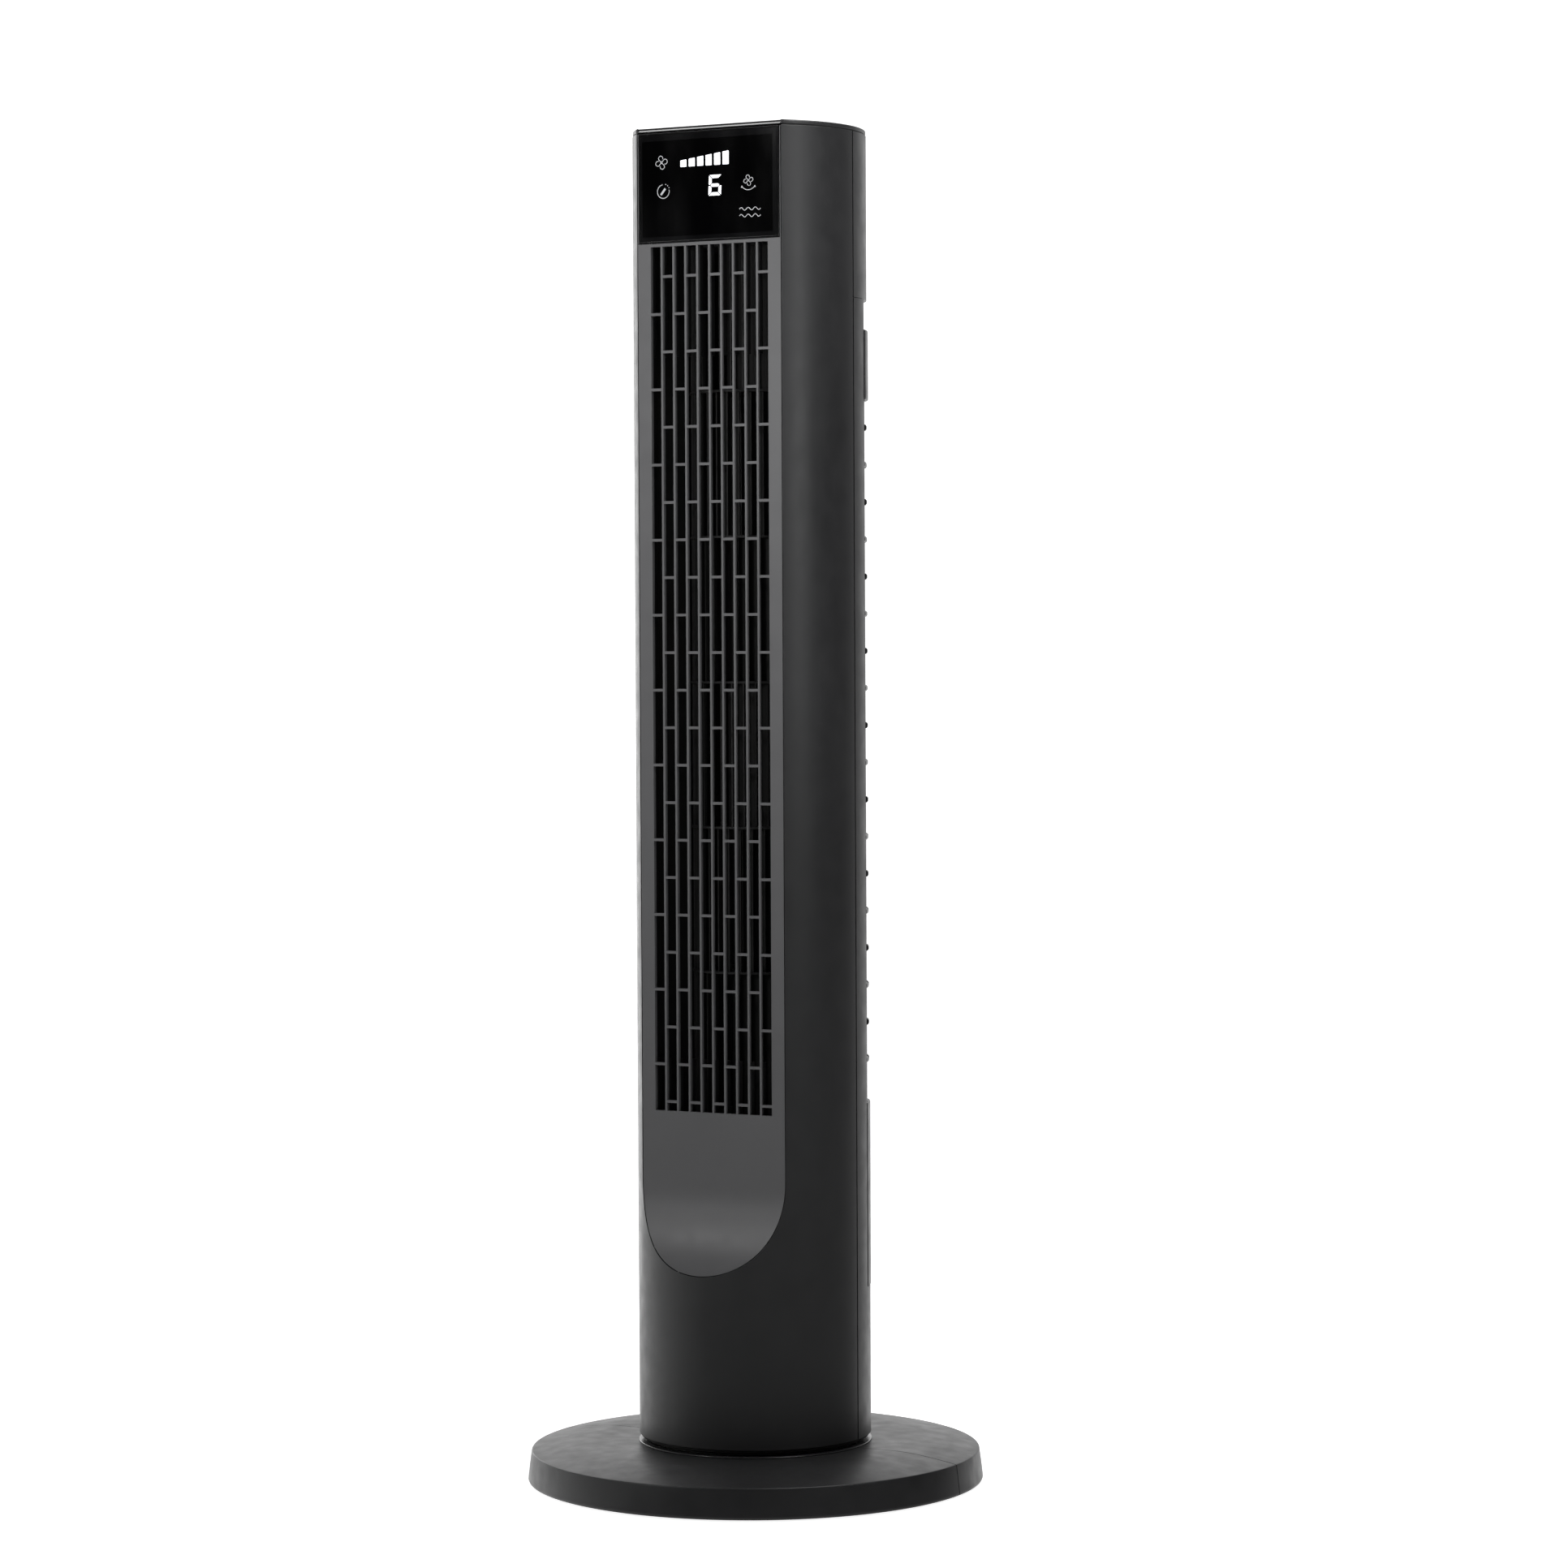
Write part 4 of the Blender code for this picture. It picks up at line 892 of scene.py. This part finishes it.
def make_top():
    """The cap, the glossy deck let into it, the deck's front edge and the five buttons."""
    low = SHELL_TOP_Z + 0.0008
    # A near-black strip behind the cap's seam: painted shade that keeps the seam dark.
    ring_sheet(
        "cap_seam_shade_backing", INNER_BLACK_AND_SHADE, (), R - 0.0009, 0.0015, SHELL_TOP_Z - 0.004, low + 0.0003, -45, 225, None, 0.0003, 72,
    )
    cap_mesh = prism(d_shape(R - 0.0003, FLAT_Y + 0.0005), low, HEIGHT)
    cap = piece("top_cap_skin", cap_mesh, "column", SHELL, ["top_cap"], 0.0010, 4, 60)
    deck_radius = R - 0.0018
    pocket_low = low + 0.0014
    pocket = deck_outline(deck_radius + 0.0003, -0.080, 0.0183)
    skirt = [(-0.0635, -0.08), (0.0635, -0.08), (0.0635, FLAT_Y + 0.0033), (-0.0635, FLAT_Y + 0.0033)]
    cuts = ((pocket, pocket_low), (skirt, 1.05))
    subtract_after(cap, [put("cutter", prism(outline, bottom, HEIGHT + 0.01)) for outline, bottom in cuts])
    top = HEIGHT - 0.0002
    deck = prism(deck_outline(deck_radius, FLAT_Y + 0.0032, 0.018), pocket_low + 0.0003, top)
    fascia = piece("control_deck", deck, "column", FASCIA, ["control_fascia"], 0.0004, 3, 50)
    hole = BUTTON_RADIUS + 0.0003
    bore = [(0, 1.05), (hole, 1.05), (hole, 1.08), (0, 1.08)]
    subtract(fascia, [put("cutter", lathe(bore, 48, centre=(x, BUTTON_Y))) for x in BUTTON_X.values()])
    front, rear, brow = FLAT_Y + 0.0003, FLAT_Y + 0.0031, top - 0.0003
    outline = fillet(
        [(front, low), (front, low + 0.0006), (front + 0.0024, brow), (rear, brow), (rear, low)],
        [0.0001, 0.0003, 0.0004, 0.0002, 0.0001], 3,
    )
    stand = Matrix(((0, 0, 1, 0), (1, 0, 0, 0), (0, 1, 0, 0), (0, 0, 0, 1)))
    edge = prism(outline, -0.0632, 0.0632, stand)
    piece("fascia_edge", edge, "column", FASCIA)
    skirt, skirt_top, skirt_low, stem, stem_low = 0.0078, 1.0626, 1.0608, 0.0025, 1.0575
    profile = fillet(
        [
            (0, HEIGHT - 0.00025), (BUTTON_RADIUS * 0.75, HEIGHT - 0.0002), (BUTTON_RADIUS, HEIGHT - 0.00005),
            (BUTTON_RADIUS, skirt_top), (skirt, skirt_top), (skirt, skirt_low), (stem, skirt_low), (stem, stem_low),
            (0, stem_low),
        ],
        [0, 0.003, 0.0005, 0, 0.0002, 0.0002, 0, 0.0002, 0], 5,
    )
    print_z = HEIGHT - 0.00022
    for kind, x in BUTTON_X.items():
        button = lathe(profile, 64, centre=(x, BUTTON_Y))
        piece(kind + "_cap", button, kind, FASCIA, [kind])
        # The printed symbols glow faintly: painted light on print.
        marks = prisms(button_marks(kind, x), print_z - 0.00003, print_z + 0.00004)
        piece(kind + "_icon", marks, kind, PRINT_WITH_PAINTED_GLOW)


# ---------------------------------------------------------------- rear

def make_rear():
    """The inlet grille with its raised bridges, the lower cover's vents and the handle's ribbed band."""
    start, end = REAR_START + 0.6, 180 - REAR_START - 0.6
    low, high = REAR_COVER_TOP_Z + 0.0003, REAR_HANDLE_LOW_Z - 0.0003
    edge, side = 0.004, 1.6
    columns, bar = 21, 1.25
    first = start + side
    pitch = (end - start - 2 * side + bar) / columns
    starts = [first + i * pitch for i in range(columns)]
    rows = [row_heights(REAR_BRIDGE_Z + BRIDGE_PITCH / 2 * s, low + edge, high - edge) for s in (0, 1)]
    tall = 0.0048
    angles = spans(sum(([a, a + (pitch - bar) / 2, a + pitch - bar] for a in starts), [start, end]), start, end)
    marks = [z + s * tall / 2 for row in rows for z in row for s in (-1, 1)]
    heights = spans([low, low + edge, high - edge, high] + marks, low, high)

    def opening(i, j):
        a = (angles[i] + angles[i + 1]) / 2
        z = (heights[j] + heights[j + 1]) / 2
        if not low + edge < z < high - edge:
            return False
        for c, left in enumerate(starts):
            if left < a < left + pitch - bar:
                return all(abs(z - b) > tall / 2 for b in rows[c % 2])
        return False

    mesh = perforated(
        angles, heights, opening,
        lambda i, j: (*polar(R - 0.0019, angles[i]), heights[j]),
        lambda i, j: (*polar(R - 0.0040, angles[i]), heights[j]),
    )
    piece("rear_inlet", mesh, "column", SHELL, ["rear_grille"], 0.0003, 2)
    section = [(R - 0.0030, tall / 2), (R - 0.0012, tall / 2), (R - 0.0002, tall / 2 - 0.0012)]
    section += [(r, -z) for r, z in reversed(section)]
    bars = [(a - bar * 0.6, a + pitch - bar * 0.4, z) for c, a in enumerate(starts) for z in rows[c % 2]]
    bridges = curved_bars(section, bars, 4)
    piece("rear_inlet_bridges", bridges, "column", SHELL, (), 0.0003, 2)

    vents = [(z, z + 0.0048) for z in (0.181 + 0.0105 * i for i in range(10))]
    sides = ((58.0, 88.6), (91.4, 122.0))

    def vent(a, z):
        return any(s < a < e for s, e in sides) and any(v[0] < z < v[1] for v in vents)

    ring_sheet(
        "lower_cover_skin", SHELL, ["lower_rear_cover"], R + 0.0004, 0.0028, REAR_LOW_Z + 0.0003,
        REAR_COVER_TOP_Z, start, end, vent, 0.0006, 72, [z for v in vents for z in v], [a for s in sides for a in s],
    )
    ring_sheet(
        "handle_band", SHELL, ["carry_handle"], R + 0.0010, 0.0030, REAR_HANDLE_LOW_Z, REAR_HANDLE_TOP_Z,
        start, end, None, 0.0011, 80, [REAR_HANDLE_LOW_Z + 0.011 * i for i in range(1, 5)],
    )
    section = [(R + 0.0008, 0.0012), (R + 0.0015, 0.0005), (R + 0.0015, -0.0005), (R + 0.0008, -0.0012)]
    bars = [(62, 118, REAR_HANDLE_LOW_Z + 0.0135 + 0.007 * k) for k in range(5)]
    ribs = curved_bars(section, bars, 40)
    piece("handle_grip_ribs", ribs, "column", SHELL, (), 0.0002, 2)


# ---------------------------------------------------------------- blower

def make_impeller():
    """Curved thin blades in six stacked sections between discs, each section turned a little from the last."""
    sections, blades, steps = 6, 32, 5
    centre = (0.0, IMPELLER_Y)
    length = WHEEL_TOP_Z - WHEEL_LOW_Z
    shape = bmesh.new()
    for s in range(sections):
        low, high = (WHEEL_LOW_Z + 0.001 + (length - 0.002) * k / sections for k in (s, s + 1))
        for b in range(blades):
            at = 360 / blades * (b + 0.35 * s)
            shares = [k / steps for k in range(steps + 1)]
            skin = [(0.0385 + 0.0105 * t, at + 11 * t + 4 * math.sin(math.pi * t)) for t in shares]
            outline = [polar(r, a + 0.55, centre) for r, a in skin]
            outline += [polar(r, a - 0.55, centre) for r, a in reversed(skin)]
            extrude(shape, outline, low, high)
    mesh = finish_mesh(shape)
    piece("impeller_blades", mesh, "impeller_wheel", INNER_BLACK_AND_SHADE, ["impeller"])
    rim = 0.0500
    for d in range(sections + 1):
        z = WHEEL_LOW_Z + 0.0012 + (length - 0.0024) * d / sections
        inner, thick = (0.0045, 0.0012) if d in (0, sections) else (0.0375, 0.0009)
        profile = fillet([(rim, z + thick), (rim, z - thick), (inner, z - thick), (inner, z + thick)], 0.0004, 2)
        name = f"impeller_disc_{d + 1}"
        piece(name, lathe(profile, 96, centre=centre), "impeller_wheel", INNER_BLACK_AND_SHADE)


# ---------------------------------------------------------------- base

def dome_height(radius):
    """The base's top, level near the column and falling towards the rim."""
    share = max(0.0, (radius - 0.125) / 0.0525)
    return 0.0318 - 0.0064 * share ** 1.6


def make_base():
    """The two halves of the disc, its underside and feet, the inlet's ring and the ring the column stands in."""
    top = [(0.0873, 0.0318), (0.110, 0.0318)]
    top += [(r, dome_height(r)) for r in (0.125 + 0.0500 * i / 14 for i in range(15))]
    edge = fillet([top[-1], (0.1779, dome_height(0.1777)), (0.1800, 0.0100)], [0, 0.0014, 0], 6, closed=False)[1:-1]
    wall = [
        (0.1796, 0.0130), (0.1806, 0.0040), (0.1807, 0.0026), (0.1802, 0.0016), (0.1778, 0.0015), (0.1774, 0.0022),
        (0.1750, 0.0222),
    ]
    under = [(0.160, 0.0255), (0.130, 0.0285), (0.0903, 0.0288), (0.0903, 0.0066), (0.0873, 0.0066)]
    profile = top + edge + wall + under
    half_gap = 0.09
    for name, start, node in (("base_rear_skin", 0, "base_rear_half"), ("base_front_skin", 180, "base_front_half")):
        mesh = lathe(profile, 128, start + half_gap, start + 180 - half_gap)
        half = piece(name, mesh, "base", BASE, [node], 0.00025, 2, 50)
        if not start:
            hole = lathe([(0, 0.02), (0.0078, 0.02), (0.0078, -0.02), (0, -0.02)], 48)
            hole.transform(Matrix.Translation((0, 0.178, CABLE_Z)) @ FACE)
            subtract(half, [put("cutter", hole)])
    cover = fillet([(0, 0.0036), (0.1766, 0.0036), (0.1766, 0.0018), (0, 0.0018)], [0, 0.0004, 0.0004, 0], 3)
    plate = lathe(cover, 160)
    piece("bottom_cover_plate", plate, "base", INNER_BLACK_AND_SHADE, ["base_bottom_cover"])
    profile = fillet([(0, 0.0015), (0.0110, 0.0015), (0.0110, 0), (0, 0)], [0, 0.0002, 0.0006, 0], 4)
    for i, degrees in enumerate(FOOT_DEGREES, 1):
        pad = lathe(profile, 48, centre=polar(0.158, degrees))
        piece(f"foot_pad_round_{i}", pad, "base", RUBBER, [f"foot_pad_{i}"])
    profile = [
        (0.0082, 0.0027), (0.0082, 0.0012), (0.0074, 0.0010), (0.0074, -0.0025), (0.0036, -0.0025), (0.0036, 0.0027),
    ]
    grommet = lathe(fillet(profile, 0.0006, 3), 48)
    grommet.transform(Matrix.Translation((0, 0.1777, CABLE_Z)) @ FACE @ Matrix.Rotation(math.pi, 4, "X"))
    piece("cable_grommet_ring", grommet, "base", RUBBER, ["cable_grommet"])
    ring = [
        (0.0925, 0.0331), (0.0925, 0.0320), (0.0868, 0.0320), (0.0868, 0.0100), (0.0120, 0.0100), (0.0120, 0.0300),
        (0.0160, 0.0300), (0.0160, 0.0130), (0.0840, 0.0130), (0.0840, 0.0275), (0.0700, 0.0275), (0.0700, 0.0300),
        (0.0840, 0.0300), (0.0840, 0.0331),
    ]
    ring = fillet(ring, [0.0006, 0.0003] + [0.0002] * 11 + [0.0005], 3)
    piece("turntable_ring", lathe(ring, 160), "base", RING, ["turntable_hub"])
    # The column's foot wears the near-black inner material: painted shade in the gap between column and base.
    foot = [
        (0.0889, 0.0460), (0.0889, 0.0379), (0.0905, 0.0379), (0.0905, 0.0362), (0.0862, 0.0362), (0.0862, 0.0338),
        (0.0117, 0.0338), (0.0117, 0.0062), (0.0090, 0.0062), (0.0090, 0.0370), (0.0862, 0.0370), (0.0862, 0.0460),
    ]
    foot = fillet(foot, [0.0002, 0, 0.0003, 0.0004, 0.0003] + [0.0002] * 7, 3)
    piece("column_neck", lathe(foot, 160), "column", INNER_BLACK_AND_SHADE, ["column_foot"])


def make_screws():
    for i, (x, z) in enumerate(SHELL_SCREWS):
        make_screw(f"back_screw_{i + 1}", f"shell_screw_{i + 1}", "column", screw_matrix(x, z))


# ---------------------------------------------------------------- studio

def area(name, place, target, size, power, spread=180):
    data = bpy.data.lights.new(name, "AREA")
    data.shape = "RECTANGLE"
    data.size, data.size_y = size
    data.energy = power
    data.spread = math.radians(spread)
    made = put(name, data)
    made.location = place
    made.rotation_euler = (Vector(target) - Vector(place)).to_track_quat("-Z", "Y").to_euler()


def math_node(tree, operation, first, second):
    """One sum in a node tree. second is a socket or a number."""
    node = tree.nodes.new("ShaderNodeMath")
    node.operation = operation
    tree.links.new(first, node.inputs[0])
    if isinstance(second, (int, float)):
        node.inputs[1].default_value = second
    else:
        tree.links.new(second, node.inputs[1])
    return node.outputs["Value"]


def make_floor():
    """A plain white sweep. It lights neither the object nor its reflections: the world does that."""
    shape = bmesh.new()
    bmesh.ops.create_grid(shape, x_segments=8, y_segments=8, size=14)
    floor = put("floor", finish_mesh(shape))
    floor.location.z = -0.0003
    material, tree, shader, coordinates = shader_of("pale_floor")
    pale = blend_colours(tree, noise(tree, coordinates, 3.0), (0.86, 0.86, 0.86), (0.88, 0.88, 0.88))
    tree.links.new(pale, shader.inputs["Base Color"])
    shader.inputs["Emission Color"].default_value = (1, 1, 1, 1)
    shader.inputs["Emission Strength"].default_value = 0.90
    shader.inputs["Roughness"].default_value = 0.9
    shader.inputs["Specular IOR Level"].default_value = 0.1
    floor.data.materials.append(material)
    floor.visible_glossy = False
    floor.visible_diffuse = False


def make_world():
    """White behind the object, softly lit from the left and from below, and dark elsewhere."""
    world = bpy.data.worlds.new("studio")
    bpy.context.scene.world = world
    world.use_nodes = True
    tree = world.node_tree
    direction = tree.nodes.new("ShaderNodeTexCoord").outputs["Generated"]
    split = tree.nodes.new("ShaderNodeSeparateXYZ")
    tree.links.new(direction, split.inputs["Vector"])
    behind = tree.nodes.new("ShaderNodeVectorMath")
    behind.operation = "DOT_PRODUCT"
    tree.links.new(direction, behind.inputs[0])
    behind.inputs[1].default_value = Vector((-0.4745, 0.8797, 0.0)).normalized()
    wide = remap(tree, behind.outputs["Value"], 0.35, 0.75, 0.0, BACK_WIDE)
    narrow = remap(tree, behind.outputs["Value"], 0.70, 0.92, 0.0, BACK_NARROW)
    left = remap(tree, split.outputs["X"], -0.5, -1.0, 0.0, LEFT_GLOW)
    below = remap(tree, split.outputs["Z"], 0.0, -0.6, 0.0, FLOOR_GLOW)
    total = math_node(tree, "ADD", math_node(tree, "ADD", wide, narrow), math_node(tree, "ADD", left, below))
    seen = tree.nodes.new("ShaderNodeLightPath").outputs["Is Camera Ray"]
    level = math_node(tree, "MAXIMUM", total, math_node(tree, "MULTIPLY", seen, 1.0))
    background = tree.nodes["Background"]
    background.inputs["Color"].default_value = (1, 1, 1, 1)
    tree.links.new(math_node(tree, "MINIMUM", level, 1.4), background.inputs["Strength"])


def make_studio():
    make_floor()
    make_world()
    area("key_far", (-1.2, -2.25, 1.76), (0, 0, 0.4), (0.5, 0.5), 8.2)
    area("key_grid", (-0.10, -1.15, 0.94), (0, -0.06, 0.86), (0.3, 0.2), 0.94, 75)
    area("key_low", (-1.12, -2.00, 0.78), (0, -0.07, 0.22), (0.3, 0.2), 0.04, 24)
    area("left_rim", (-1.5, 1.05, 0.8), (0, 0, 0.6), (0.3, 1.8), 2.0, 120)
    area("right_high", (1.1, -0.35, 1.65), (0, 0, 0.9), (0.35, 0.35), 3.1)
    area("right_near", (0.55, -0.05, 1.55), (0, 0, 0.9), (0.3, 0.3), 3.9)
    area("right_mid", (1.5, -0.4, 0.95), (0, 0, 0.65), (0.15, 0.6), 0.65, 90)
    area("top_left", (-0.81, -0.11, 2.56), (0, 0, 1.0), (0.5, 0.3), 1.1, 120)
    area("top_rear", (0.40, 0.45, 2.55), (0, 0, 1.0), (0.4, 0.4), 2.0, 120)
    area("right_far", (1.0, -0.9, 1.5), (0, 0, 0.85), (0.3, 0.3), 0.4, 90)


def make_camera():
    data = bpy.data.cameras.new("camera")
    data.sensor_width = 36.0
    data.lens = 101.53
    data.clip_start = 0.05
    data.clip_end = 60
    made = put("camera", data)
    forward = Vector((-0.47445, 0.87972, -0.03153)).normalized()
    right = forward.cross(Vector((0, 0, 1))).normalized()
    up = right.cross(forward)
    roll = math.radians(-0.274)
    across = right * math.cos(roll) + up * math.sin(roll)
    upward = up * math.cos(roll) - right * math.sin(roll)
    turn = Matrix((across, upward, -forward)).transposed().to_4x4()
    made.matrix_world = Matrix.Translation((1.6844, -3.0703, 0.663)) @ turn
    bpy.context.scene.camera = made
    bpy.context.scene.view_settings.view_transform = "Standard"


make_front_shell()
make_rear_shell()
make_screws()
make_front_panel()
make_display()
make_top()
make_rear()
make_impeller()
make_base()
make_studio()
make_camera()
